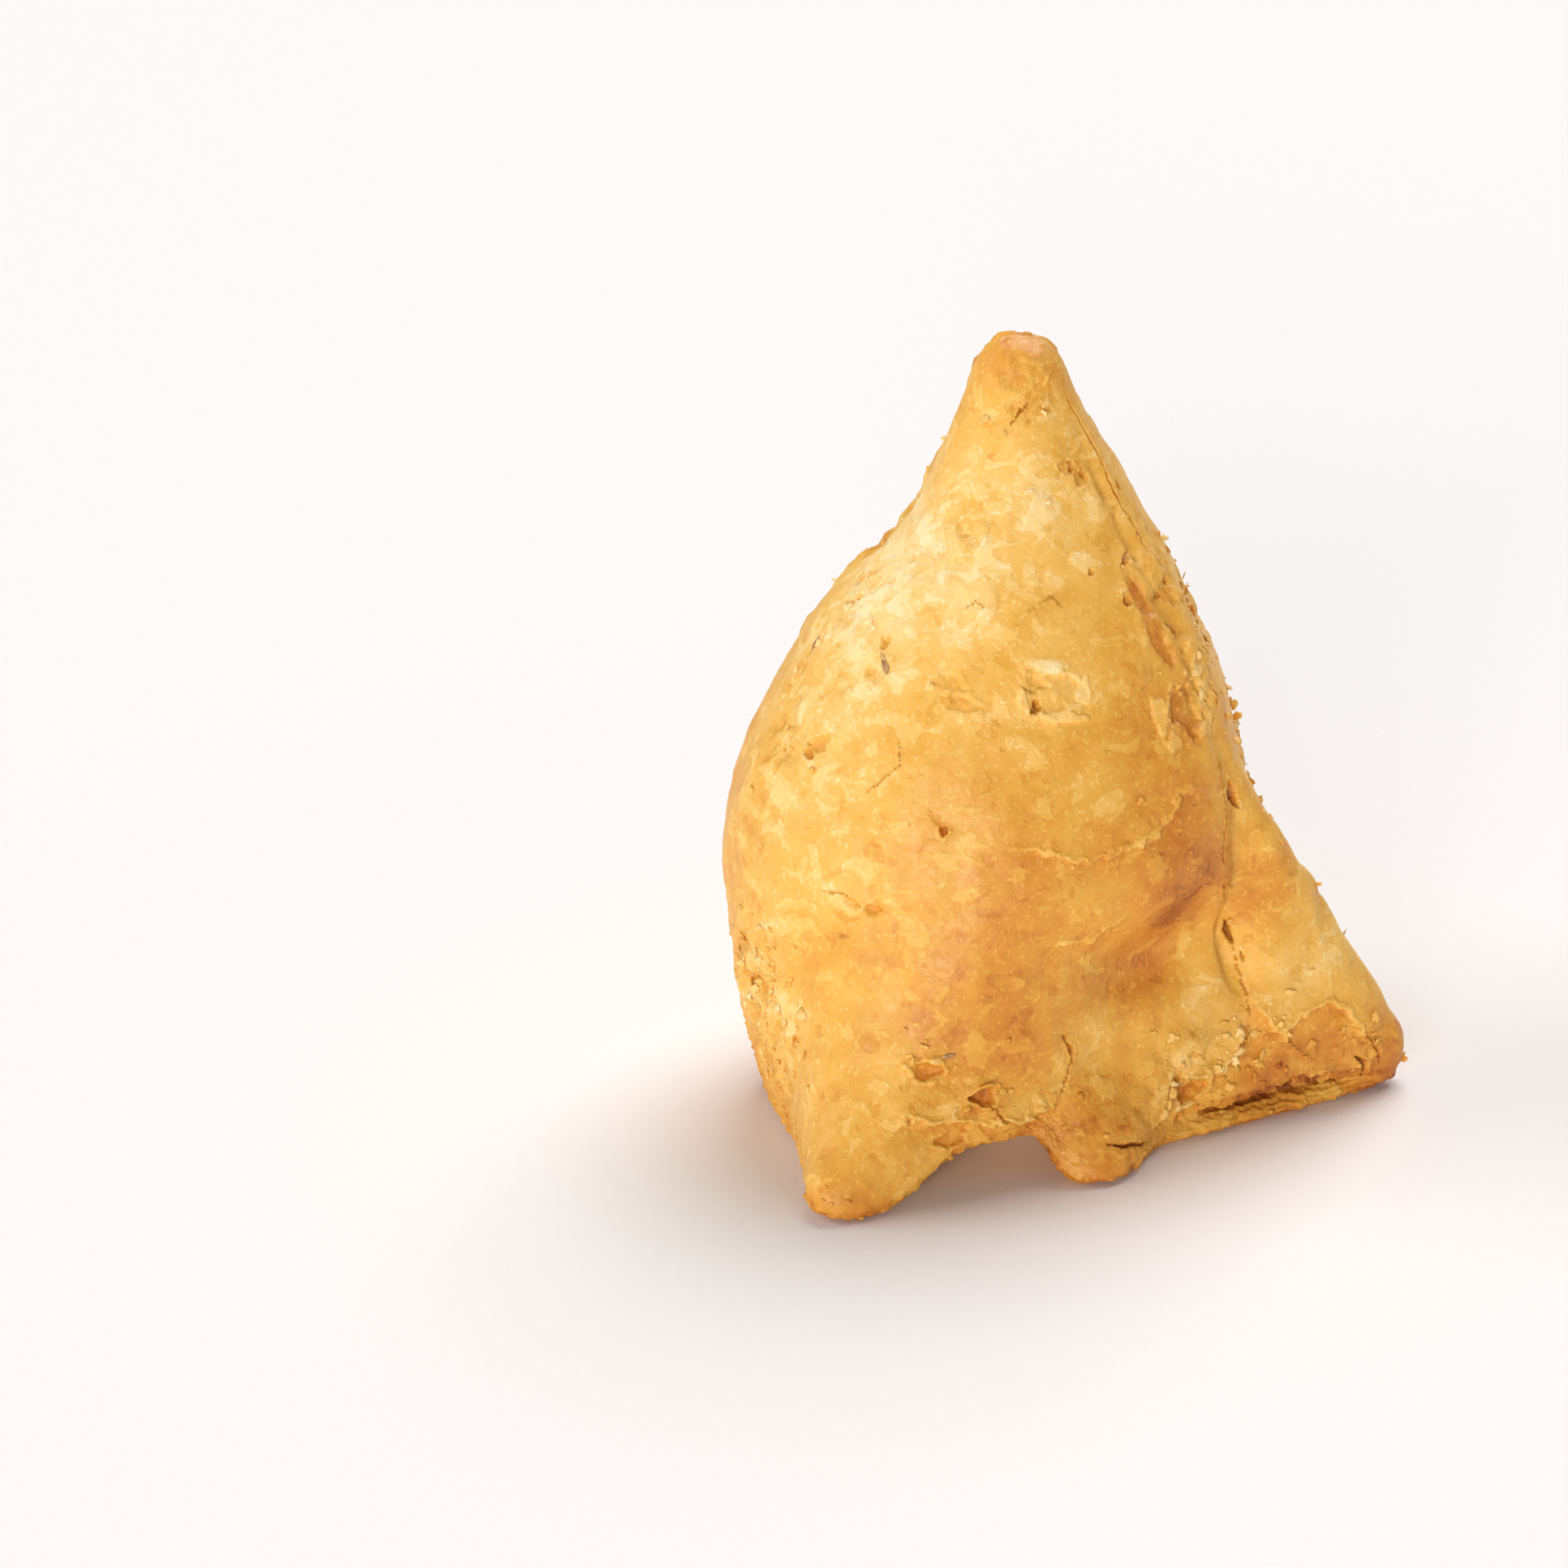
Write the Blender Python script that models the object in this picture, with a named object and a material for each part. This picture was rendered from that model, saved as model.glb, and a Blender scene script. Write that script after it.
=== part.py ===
"""Samosa: a fried pastry cone, filled, with its mouth pinched shut in a flat two-ply seam.

Frame, in metres: +Z up, the seam faces -Y, its corners lie along X, and the origin is the middle
of the footprint on the surface that the samosa stands on.

The samosa is one closed solid. It starts as a UV sphere whose poles are the apex and the middle
of the underside. Every vertex is then moved to its place on a loft of horizontal sections, each
measured outwards from the cone's upright axis: a near-round body above, and below it the seam
flap, whose two corners reach out past the body. The features of the seam and the body are small
functions that add to that outward distance. All sizes below are in millimetres.
"""

import math

import bmesh
import bpy
from mathutils import Vector, noise

MM = 0.001

# Overall sizes
HEIGHT = 88.5
AXIS_BEHIND_SEAM = 25.0

# The sphere's mesh: segments bunched towards the seam, and the rings of the wall and underside
SEGMENTS = 92
BUNCHING = 0.45
FLAP_RINGS = (0.0, 0.5, 1.1, 1.8, 2.5, 3.2, 4.0, 5.0, 6.2, 7.6, 9.2, 11.0, 13.0, 15.0, 17.0, 19.0)
BODY_RINGS = (21.0, 23.0, 25.0, 27.0, 29.0, 31.0)
CONE_START = 33.5
CONE_STEP = 3.25
CONE_RINGS = 16
DOME_TURNS = (0, 30, 55, 72)
UNDERSIDE_SHARES = (0.95, 0.88, 0.78, 0.65, 0.5, 0.35, 0.18)
UNDERSIDE_FLAT_SHARE = 0.45
LEAST_COSINE = 0.05

# The filled body: (height, radius) from the floor to the blunt apex, and the axis's wander along X
BODY_PROFILE = (
    (0.0, 24.5),
    (6.5, 26.6),
    (16.0, 28.6),
    (33.0, 30.0),
    (47.0, 26.4),
    (60.0, 20.2),
    (66.0, 15.3),
    (73.0, 10.8),
    (80.0, 7.0),
    (86.0, 4.6),
    (88.5, 3.9),
)
AXIS_WANDER = ((0.0, 0.0), (33.0, -1.8), (70.0, 0.6), (88.5, -0.6))
APEX_DOME = 2.8
FLATTENING = 0.09
FLATTENED_BELOW = 45.0

# The seam flap: (height, reach of the corner along X), and how its front face leans back
RIGHT_CORNER = (
    (0.0, 37.0),
    (3.5, 39.6),
    (9.5, 37.6),
    (16.5, 34.0),
    (23.0, 30.2),
    (33.0, 24.2),
    (45.0, 14.0),
)
LEFT_CORNER = (
    (0.0, 40.0),
    (3.5, 41.0),
    (9.5, 39.0),
    (16.5, 34.5),
    (23.0, 29.5),
    (33.0, 22.0),
    (45.0, 13.0),
)
CORNER_ROUNDING = 2.2
RIGHT_SHOULDER_ROUNDING = 7.0
LEFT_SHOULDER_ROUNDING = 26.0
SHOULDER_HEIGHT = 11.0
SIDE_DISTANCE = ((0.0, 27.0), (10.0, 27.5), (23.0, 27.0), (45.0, 17.0))
FLAP_TOP = 45.0
CREASE_BLEND = 3.0
LEFT_BLEND = 9.0
SEAM_BULGE = 1.8
FADE_BEHIND = 12.0
FADE_ANGLE = math.radians(35.0)
FRONT_LIMIT = math.radians(75.0)

# The crease between the belly and the flap, deepest beside the pleat
CREASE_HEIGHT = 23.0
CREASE_SETBACK = 3.0
RIGHT_FORWARD = 1.8
CREASE_DEPTH = 5.0
CREASE_REACH = 10.0
CREASE_LEFT = -19.0
CREASE_MIDDLE = 0.0
CREASE_FULL = 8.0
CREASE_RIGHT = 15.0
CREASE_END = 18.5

# The tongue of folded dough that sticks out of the seam, and the arch between it and the left toe
LOBE_X = -5.5
LOBE_HALF_WIDTH = 9.5
LOBE_REACH = 5.0
LOBE_HEIGHT = 13.0
ARCH_LEFT = -32.0
ARCH_LEFT_RAMP = 10.0
ARCH_RIGHT = -9.0
ARCH_RIGHT_RAMP = 3.5
ARCH_RISE = 5.0

# The open slit between the two plies, right of the tongue
PLY_THICKNESS = 2.5
SLIT_LEFT = 3.0
SLIT_RIGHT = 34.0
SLIT_TAPER = 7.0
SLIT_DEPTH = 2.5
SLIT_HALF_HEIGHT = 1.1
EDGE_ROUNDING = 1.6
EDGE_UNDERCUT = 0.9

# The overlap of the rolled dough: a ridge from the apex down the right side, (height, X), with a
# flattened side face behind it, (height, distance from the axis), and a pinched pleat at its foot
RIDGE_LINE = (
    (13.0, 16.0),
    (21.0, 14.4),
    (37.0, 14.0),
    (43.0, 13.2),
    (57.0, 9.2),
    (71.0, 4.8),
    (82.0, 2.4),
)
RIDGE_DEPTH = 1.0
RIDGE_HALF_WIDTH = 1.6
SIDE_FACE_ANGLE = math.radians(60.0)
SIDE_FACE_DISTANCE = (
    (33.0, 29.0),
    (47.0, 24.7),
    (57.0, 19.2),
    (63.0, 16.9),
    (70.0, 12.9),
    (80.0, 8.0),
    (88.5, 6.0),
)
SIDE_FACE_ROUNDING = 2.5
PLEAT_STEP_START = 13.9
PLEAT_STEP_END = 17.4
PLEAT_HEIGHT = 21.0
PLEAT_DEPTH = 2.2
PLEAT_HALF_WIDTH = 1.7
PLEAT_HALF_HEIGHT = 7.0

# Unevenness of hand-rolled dough
LUMP_SIZE = 17.0
LUMP_DEPTH = 0.55
LUMP_PATTERN = Vector((3.0, 7.0, 1.0))
LUMPS_FROM = 1.0
LUMPS_FULL_FROM = 12.0


def smooth_step(low, high, value):
    """0 below low, 1 above high, with a smooth rise between them."""
    share = min(max((value - low) / (high - low), 0.0), 1.0)
    return share * share * (3.0 - 2.0 * share)


def bump(distance, half_width):
    """A smooth hill that is 1 at distance 0 and 0 from half_width outwards."""
    return 1.0 - smooth_step(0.0, half_width, abs(distance))


def larger(first, second, blend):
    """The larger of two lengths, with a fillet where they meet."""
    overlap = max(blend - abs(first - second), 0.0) / blend
    return max(first, second) + overlap * overlap * blend / 4.0


def smaller(first, second, blend):
    """The smaller of two lengths, with a round where they meet."""
    return -larger(-first, -second, blend)


def along(stations, at):
    """Read a smooth curve through (position, value) stations."""
    at = min(max(at, stations[0][0]), stations[-1][0])
    index = 0
    while index < len(stations) - 2 and at > stations[index + 1][0]:
        index += 1
    (start, first), (end, second) = stations[index], stations[index + 1]

    def slope(number):
        low = stations[max(number - 1, 0)]
        high = stations[min(number + 1, len(stations) - 1)]
        return (high[1] - low[1]) / (high[0] - low[0])

    span = end - start
    share = (at - start) / span
    rise = share * share * (3.0 - 2.0 * share)
    leave = share * (1.0 - share) ** 2 * span * slope(index)
    arrive = share * share * (share - 1.0) * span * slope(index + 1)
    return first + (second - first) * rise + leave + arrive


def front_distance(height):
    """Distance from the axis to the flap's front face, which leans back up to the crease."""
    return AXIS_BEHIND_SEAM - CREASE_SETBACK * smooth_step(0.0, CREASE_HEIGHT, height)


def front_x(angle, height):
    """Where a direction from the axis meets the flap's front face, along X."""
    limited = min(max(angle, -FRONT_LIMIT), FRONT_LIMIT)
    return front_distance(height) * math.tan(limited) + along(AXIS_WANDER, height)


def crease_share(angle):
    """How deep the belly is tucked in above the flap: from nothing at the left to full at the pleat."""
    x = front_x(angle, CREASE_HEIGHT)
    return smooth_step(CREASE_LEFT, CREASE_FULL, x) * (1.0 - smooth_step(CREASE_RIGHT, CREASE_END, x))


def body_reach(angle, height):
    """The filled body without the flap: a little wider along X, and tucked in above the seam."""
    flattened = FLATTENING * (1.0 - smooth_step(FLATTENED_BELOW, HEIGHT, height))
    reach = along(BODY_PROFILE, height) * (1.0 - flattened * math.cos(2.0 * angle))
    dome = max(height - (HEIGHT - APEX_DOME), 0.0) / APEX_DOME
    reach *= math.sqrt(max(1.0 - dome * dome, 0.0))
    side_face = along(SIDE_FACE_DISTANCE, height) / max(math.cos(angle - SIDE_FACE_ANGLE), LEAST_COSINE)
    reach = smaller(reach, side_face, SIDE_FACE_ROUNDING)
    tuck = 1.0 - smooth_step(CREASE_HEIGHT, CREASE_HEIGHT + CREASE_REACH, height)
    return reach - CREASE_DEPTH * tuck * crease_share(angle)


def flap_reach(angle, height):
    """The flat seam flap: a front face, and a side face back from each corner to the body."""
    right = angle > 0.0
    away = abs(angle)
    corner = along(RIGHT_CORNER if right else LEFT_CORNER, height)
    past_pleat = smooth_step(PLEAT_STEP_START, PLEAT_STEP_END, front_x(angle, height))
    front = front_distance(height) + past_pleat * RIGHT_FORWARD * smooth_step(0.0, CREASE_HEIGHT, height)
    side = along(SIDE_DISTANCE, height)
    side_angle = math.atan2(corner, front) + math.acos(min(side / math.hypot(corner, front), 1.0))
    bulge = SEAM_BULGE * (1.0 - (min(abs(front_x(angle, height)), corner) / corner) ** 2)
    front_line = (front + bulge) / max(math.cos(away), LEAST_COSINE)
    side_line = side / max(math.cos(min(away - side_angle, 0.0)), LEAST_COSINE)
    side_line -= FADE_BEHIND * smooth_step(side_angle, side_angle + FADE_ANGLE, away)
    shoulder = RIGHT_SHOULDER_ROUNDING if right else LEFT_SHOULDER_ROUNDING
    rounding = CORNER_ROUNDING + (shoulder - CORNER_ROUNDING) * smooth_step(0.0, SHOULDER_HEIGHT, height)
    return smaller(front_line, side_line, rounding)


def edge_height(angle):
    """Height of the seam's lower edge: on the surface, but lifted in the arch."""
    x = front_x(angle, 0.0)
    left_ramp = smooth_step(ARCH_LEFT, ARCH_LEFT + ARCH_LEFT_RAMP, x)
    right_ramp = 1.0 - smooth_step(ARCH_RIGHT - ARCH_RIGHT_RAMP, ARCH_RIGHT, x)
    return ARCH_RISE * left_ramp * right_ramp


def lobe_reach(angle, height):
    """The folded tongue of dough."""
    across = bump(front_x(angle, height) - LOBE_X, LOBE_HALF_WIDTH)
    return LOBE_REACH * across * (1.0 - smooth_step(0.0, LOBE_HEIGHT, height))


def slit_depth(angle, height):
    """The gap between the front ply and the back ply of the seam."""
    x = front_x(angle, height)
    left_end = smooth_step(SLIT_LEFT, SLIT_LEFT + SLIT_TAPER, x)
    right_end = 1.0 - smooth_step(SLIT_RIGHT - SLIT_TAPER, SLIT_RIGHT, x)
    return SLIT_DEPTH * left_end * right_end * bump(height - PLY_THICKNESS, SLIT_HALF_HEIGHT)


def overlap_depth(angle, height, reach):
    """The groove beside the overlap's edge, and the pleat pinched into its lower end."""
    if abs(angle) > FRONT_LIMIT:
        return 0.0
    x = reach * math.sin(angle) + along(AXIS_WANDER, height)
    fade = smooth_step(RIDGE_LINE[0][0], PLEAT_HEIGHT, height)
    fade *= 1.0 - smooth_step(RIDGE_LINE[-2][0], RIDGE_LINE[-1][0], height)
    distance = x - along(RIDGE_LINE, height)
    groove = RIDGE_DEPTH * fade * bump(distance, RIDGE_HALF_WIDTH)
    pleat = PLEAT_DEPTH * bump(distance, PLEAT_HALF_WIDTH) * bump(height - PLEAT_HEIGHT, PLEAT_HALF_HEIGHT)
    return groove + pleat


def wall_reach(angle, height):
    """Distance from the axis to the wall of the samosa in one direction at one height."""
    reach = body_reach(angle, height)
    if height < FLAP_TOP:
        at_crease = smooth_step(CREASE_LEFT, CREASE_MIDDLE, front_x(angle, height))
        blend = LEFT_BLEND + (CREASE_BLEND - LEFT_BLEND) * at_crease
        reach = larger(reach, flap_reach(angle, height), blend)
    reach += lobe_reach(angle, height)
    reach -= slit_depth(angle, height)
    reach -= overlap_depth(angle, height, reach)
    above_edge = height - edge_height(angle)
    undercut = 1.0 - min(max(above_edge, 0.0) / EDGE_ROUNDING, 1.0)
    return reach - EDGE_ROUNDING * EDGE_UNDERCUT * (1.0 - math.sqrt(1.0 - undercut * undercut))


def ring_heights():
    """Heights of the wall's rings above the edge, close together in the flap and at the apex."""
    cone = [CONE_START + CONE_STEP * step for step in range(CONE_RINGS)]
    dome = [HEIGHT - APEX_DOME * (1.0 - math.sin(math.radians(turn))) for turn in DOME_TURNS]
    return list(FLAP_RINGS + BODY_RINGS) + cone + dome


def wall_point(angle, ring_height):
    """A point of the wall, with the rings squeezed together over the lifted edge."""
    edge = edge_height(angle)
    lift = edge * (1.0 - smooth_step(0.0, CREASE_HEIGHT, ring_height))
    height = ring_height + lift
    reach = wall_reach(angle, height)
    return polar(angle, reach, height)


def polar(angle, reach, height):
    """Turn a direction, a distance from the axis and a height into a point."""
    x = reach * math.sin(angle) + along(AXIS_WANDER, height)
    y = -reach * math.cos(angle)
    return Vector((x, y, height))


def underside_point(angle, share):
    """A point of the underside: flat on the surface, rising to the lifted edge of the arch."""
    edge = edge_height(angle)
    reach = wall_reach(angle, edge) * share
    height = edge * smooth_step(UNDERSIDE_FLAT_SHARE, 1.0, share)
    return polar(angle, reach, height)


def crowd_to_front(angle):
    """Bunch the segments towards the seam, where the small features are."""
    return angle - BUNCHING * math.sin(angle)


def uneven(point):
    """Add the lumps of hand-rolled dough, which fade out at the foot so that it stays flat."""
    outward = Vector((point.x, point.y, 0.0)).normalized()
    lump = noise.noise(point / LUMP_SIZE + LUMP_PATTERN)
    return point + outward * lump * LUMP_DEPTH * smooth_step(LUMPS_FROM, LUMPS_FULL_FROM, point.z)


def shape_samosa(mesh):
    """Move every vertex of the sphere to its place on the samosa."""
    heights = ring_heights()
    rings = len(heights) + len(UNDERSIDE_SHARES) + 1
    for vertex in mesh.verts:
        turn = math.acos(min(max(-vertex.co.z, -1.0), 1.0)) / math.pi
        ring = round(turn * rings)
        angle = crowd_to_front(math.atan2(vertex.co.x, -vertex.co.y))
        if ring == 0:
            point = polar(0.0, 0.0, 0.0)
        elif ring == rings:
            point = polar(0.0, 0.0, HEIGHT)
        elif ring <= len(UNDERSIDE_SHARES):
            point = underside_point(angle, UNDERSIDE_SHARES[-ring])
        else:
            height = heights[ring - len(UNDERSIDE_SHARES) - 1]
            point = uneven(wall_point(angle, height))
        vertex.co = point * MM


def centre_footprint(mesh):
    """Put the origin in the middle of the footprint."""
    xs = [vertex.co.x for vertex in mesh.verts]
    ys = [vertex.co.y for vertex in mesh.verts]
    middle = Vector(((min(xs) + max(xs)) / 2.0, (min(ys) + max(ys)) / 2.0, 0.0))
    bmesh.ops.translate(mesh, verts=mesh.verts, vec=-middle)


def crust_material():
    """Fried shortcrust dough: golden, dull to satin."""
    material = bpy.data.materials.new("fried_dough")
    material.use_nodes = True
    shader = material.node_tree.nodes["Principled BSDF"]
    shader.inputs["Base Color"].default_value = (0.80, 0.46, 0.12, 1.0)
    shader.inputs["Roughness"].default_value = 0.55
    shader.inputs["Metallic"].default_value = 0.0
    return material


def make_samosa(collection):
    """The whole samosa as one solid."""
    rings = len(ring_heights()) + len(UNDERSIDE_SHARES) + 1
    shaping = bmesh.new()
    bmesh.ops.create_uvsphere(shaping, u_segments=SEGMENTS, v_segments=rings, radius=1.0)
    shape_samosa(shaping)
    centre_footprint(shaping)
    mesh = bpy.data.meshes.new("samosa")
    shaping.to_mesh(mesh)
    shaping.free()
    mesh.shade_smooth()
    mesh.materials.append(crust_material())
    samosa = bpy.data.objects.new("samosa", mesh)
    collection.objects.link(samosa)
    return samosa


def main():
    for old in list(bpy.data.objects):
        bpy.data.objects.remove(old, do_unlink=True)
    collection = bpy.data.collections.new("samosa_parts")
    bpy.context.scene.collection.children.link(collection)
    make_samosa(collection)


main()
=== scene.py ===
# %% [markdown]
# ## A fried samosa, from a bare solid to a flaky crust
# The imported model holds one closed solid: a cone of dough standing on its pinched seam. The looks
# come from a finer copy of that solid, which takes its place. It gets more vertices, then relief
# that is worked out from fields over the surface, then a material that reads the same fields.

# %% Load the solid
import math
import random

import bmesh
import bpy
import numpy as np
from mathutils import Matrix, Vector, noise
from mathutils.bvhtree import BVHTree


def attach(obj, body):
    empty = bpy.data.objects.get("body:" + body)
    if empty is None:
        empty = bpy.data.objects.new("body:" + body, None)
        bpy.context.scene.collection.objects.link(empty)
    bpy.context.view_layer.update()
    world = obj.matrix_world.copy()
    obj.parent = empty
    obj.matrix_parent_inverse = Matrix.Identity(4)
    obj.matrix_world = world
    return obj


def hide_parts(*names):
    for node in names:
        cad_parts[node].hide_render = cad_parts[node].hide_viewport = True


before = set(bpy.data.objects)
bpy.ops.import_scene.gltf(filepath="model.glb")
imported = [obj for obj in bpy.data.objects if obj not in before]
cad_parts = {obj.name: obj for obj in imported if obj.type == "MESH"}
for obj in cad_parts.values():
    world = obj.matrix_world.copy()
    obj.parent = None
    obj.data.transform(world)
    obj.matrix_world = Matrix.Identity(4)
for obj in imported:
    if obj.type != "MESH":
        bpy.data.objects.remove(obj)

MM = 0.001
scene = bpy.context.scene
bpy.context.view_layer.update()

# %% [markdown]
# ### The camera
# A snack on a table is seen from a little above and here from a little to its left, so that the
# seam shows its two corners at different heights. A long lens keeps the cone from looking bent. The
# camera is aimed by turning it, with no sensor shift, so any other view is framed just as well.

# %% Camera
VIEW_AZIMUTH = math.radians(-30.0)
VIEW_ELEVATION = math.radians(20.0)
VIEW_DISTANCE = 488.0 * MM
VIEW_TARGET = Vector((-25.8, 8.2, 38.8)) * MM

towards_camera = Vector((
    math.sin(VIEW_AZIMUTH) * math.cos(VIEW_ELEVATION),
    -math.cos(VIEW_AZIMUTH) * math.cos(VIEW_ELEVATION),
    math.sin(VIEW_ELEVATION),
))
camera_data = bpy.data.cameras.new("camera")
camera_data.lens = 100.0
camera_data.sensor_width = 36.0
camera_data.clip_end = 20.0
camera = bpy.data.objects.new("camera", camera_data)
camera.location = VIEW_TARGET + towards_camera * VIEW_DISTANCE
camera.rotation_euler = towards_camera.to_track_quat("Z", "Y").to_euler()
scene.collection.objects.link(camera)
scene.camera = camera
print("camera at, mm:", [round(c / MM) for c in camera.location])

# %% [markdown]
# ### Colours and nodes
# Colours are given as sRGB hex values, but a render adds up light in linear values, so one
# function turns hex to linear. A second one adds a shader node, sets it up and links it, which
# keeps each material readable as a list of steps.

# %% Helpers for materials
def linear(hex_colour):
    """An sRGB hex colour as linear red, green, blue and alpha."""
    channels = [int(hex_colour[start:start + 2], 16) / 255.0 for start in (1, 3, 5)]
    return tuple(c / 12.92 if c <= 0.04045 else ((c + 0.055) / 1.055) ** 2.4 for c in channels) + (1.0,)


def node(tree, kind, settings=None, links=None):
    """Add a node, set its properties, and set or link its inputs, each named or numbered."""
    made = tree.nodes.new(kind)
    for name, value in (settings or {}).items():
        setattr(made, name, value)
    for key, value in (links or {}).items():
        if isinstance(value, bpy.types.NodeSocket):
            tree.links.new(value, made.inputs[key])
        else:
            made.inputs[key].default_value = value
    return made


def new_material(name):
    """A material with its node tree and its Principled shader."""
    material = bpy.data.materials.new(name)
    material.use_nodes = True
    return material, material.node_tree, material.node_tree.nodes["Principled BSDF"]

# %% [markdown]
# ### Floor and light
# The floor is a plain, nearly white sheet of paper. A large soft box behind on the right makes the
# floor white and leaves a soft shadow in front of the seam. One on the left lights the bulging side,
# and one in front, so low that it hardly touches the floor, fills the face and leaves the shadow
# under the arch dark. The room adds a little from everywhere.

# %% Floor
FLOOR_SIZE = 6.0

bpy.ops.mesh.primitive_plane_add(size=FLOOR_SIZE)
floor = bpy.context.object
floor.name = "floor"
paper, paper_tree, paper_shader = new_material("white_paper")
# Uncoated paper: bright and quite dull, with a faint fibre grain that takes off the flatness.
paper_place = node(paper_tree, "ShaderNodeTexCoord").outputs["Object"]
paper_grain = node(paper_tree, "ShaderNodeTexNoise", None, {"Vector": paper_place, "Scale": 900.0, "Detail": 3.0})
paper_colour = node(
    paper_tree, "ShaderNodeMix", {"data_type": "RGBA"},
    {0: paper_grain.outputs["Fac"], 6: linear("#f0eceb"), 7: linear("#f3f0ef")},
)
paper_tree.links.new(paper_colour.outputs[2], paper_shader.inputs["Base Color"])
paper_shader.inputs["Roughness"].default_value = 0.9
floor.data.materials.append(paper)
print("floor:", floor.dimensions[:2])

# %% Lamps
def soft_box(name, azimuth, elevation, strength, spread):
    """A soft box so far away that it lights the whole floor alike; all but its strength in degrees."""
    data = bpy.data.lights.new(name, "SUN")
    data.energy = strength
    data.angle = math.radians(spread)
    lamp = bpy.data.objects.new(name, data)
    turn, lift = math.radians(azimuth), math.radians(elevation)
    towards = Vector((math.cos(turn) * math.cos(lift), math.sin(turn) * math.cos(lift), math.sin(lift)))
    lamp.rotation_euler = towards.to_track_quat("Z", "Y").to_euler()
    scene.collection.objects.link(lamp)


soft_box("back_right_box", 35.0, 55.0, 2.55, 45.0)
soft_box("left_box", 150.0, 28.0, 1.05, 40.0)
soft_box("front_box", 225.0, 4.0, 2.85, 28.0)
scene.view_settings.view_transform = "Standard"

# %% Room
ROOM_LIGHT = 0.21

world = bpy.data.worlds.new("studio")
world.use_nodes = True
scene.world = world
world.node_tree.nodes["Background"].inputs["Color"].default_value = linear("#fdfaf8")
world.node_tree.nodes["Background"].inputs["Strength"].default_value = ROOM_LIGHT
print("room light:", ROOM_LIGHT)

# %% [markdown]
# ### A finer copy of the solid
# The solid has facets of 2 to 3 mm, far coarser than a flake of crust. Its copy is welded, its
# triangles are paired into quads, and one level of Subdivision Surface rounds the facets.

# %% Rounded copy
def rounded_copy(source):
    """A welded copy of a solid in quads, with one level of subdivision."""
    cells = bmesh.new()
    cells.from_mesh(source.data)
    bmesh.ops.remove_doubles(cells, verts=cells.verts, dist=0.001 * MM)
    bmesh.ops.join_triangles(
        cells, faces=cells.faces,
        angle_face_threshold=math.radians(40.0), angle_shape_threshold=math.radians(60.0),
    )
    mesh = bpy.data.meshes.new("rounded")
    cells.to_mesh(mesh)
    cells.free()
    holder = bpy.data.objects.new("rounded", mesh)
    scene.collection.objects.link(holder)
    modifier = holder.modifiers.new("round", "SUBSURF")
    modifier.levels = 1
    evaluated = holder.evaluated_get(bpy.context.evaluated_depsgraph_get())
    rounded = bpy.data.meshes.new_from_object(evaluated)
    bpy.data.objects.remove(holder)
    return rounded


smooth_mesh = rounded_copy(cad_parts["samosa"])
print("rounded copy:", len(smooth_mesh.polygons), "faces")

# %% [markdown]
# ### Places on the crust
# Every mark on the crust is placed by its direction round the cone's axis in degrees (0 is the
# middle of the seam side, and positive turns to the right) and by its height in millimetres. A
# ray from the axis outwards finds the point. From here on all sizes are in millimetres.

# %% Places
AXIS = Vector((1.0, 1.9, 0.0))

smooth_mesh.calc_loop_triangles()
coarse_points = np.empty(len(smooth_mesh.vertices) * 3)
smooth_mesh.vertices.foreach_get("co", coarse_points)
coarse_points = coarse_points.reshape(-1, 3) / MM
coarse_normals = np.empty(len(smooth_mesh.vertices) * 3)
smooth_mesh.vertex_normals.foreach_get("vector", coarse_normals)
coarse_normals = coarse_normals.reshape(-1, 3)
coarse_triangles = np.empty(len(smooth_mesh.loop_triangles) * 3, dtype=np.int64)
smooth_mesh.loop_triangles.foreach_get("vertices", coarse_triangles)
coarse_triangles = coarse_triangles.reshape(-1, 3)
smooth_surface = BVHTree.FromPolygons(coarse_points.tolist(), coarse_triangles.tolist())


def on_crust(angle, height):
    """The point in a direction from the axis at a height, the way out of the crust, and right and up along it."""
    turn = math.radians(angle)
    start = AXIS + Vector((0.0, 0.0, height))
    place, normal, index, distance = smooth_surface.ray_cast(start, Vector((math.sin(turn), -math.cos(turn), 0.0)))
    right = Vector((0.0, 0.0, 1.0)).cross(normal).normalized()
    return place, normal, right, normal.cross(right)


print("middle of the belly:", [round(c, 1) for c in on_crust(0.0, 35.0)[0]])
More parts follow.
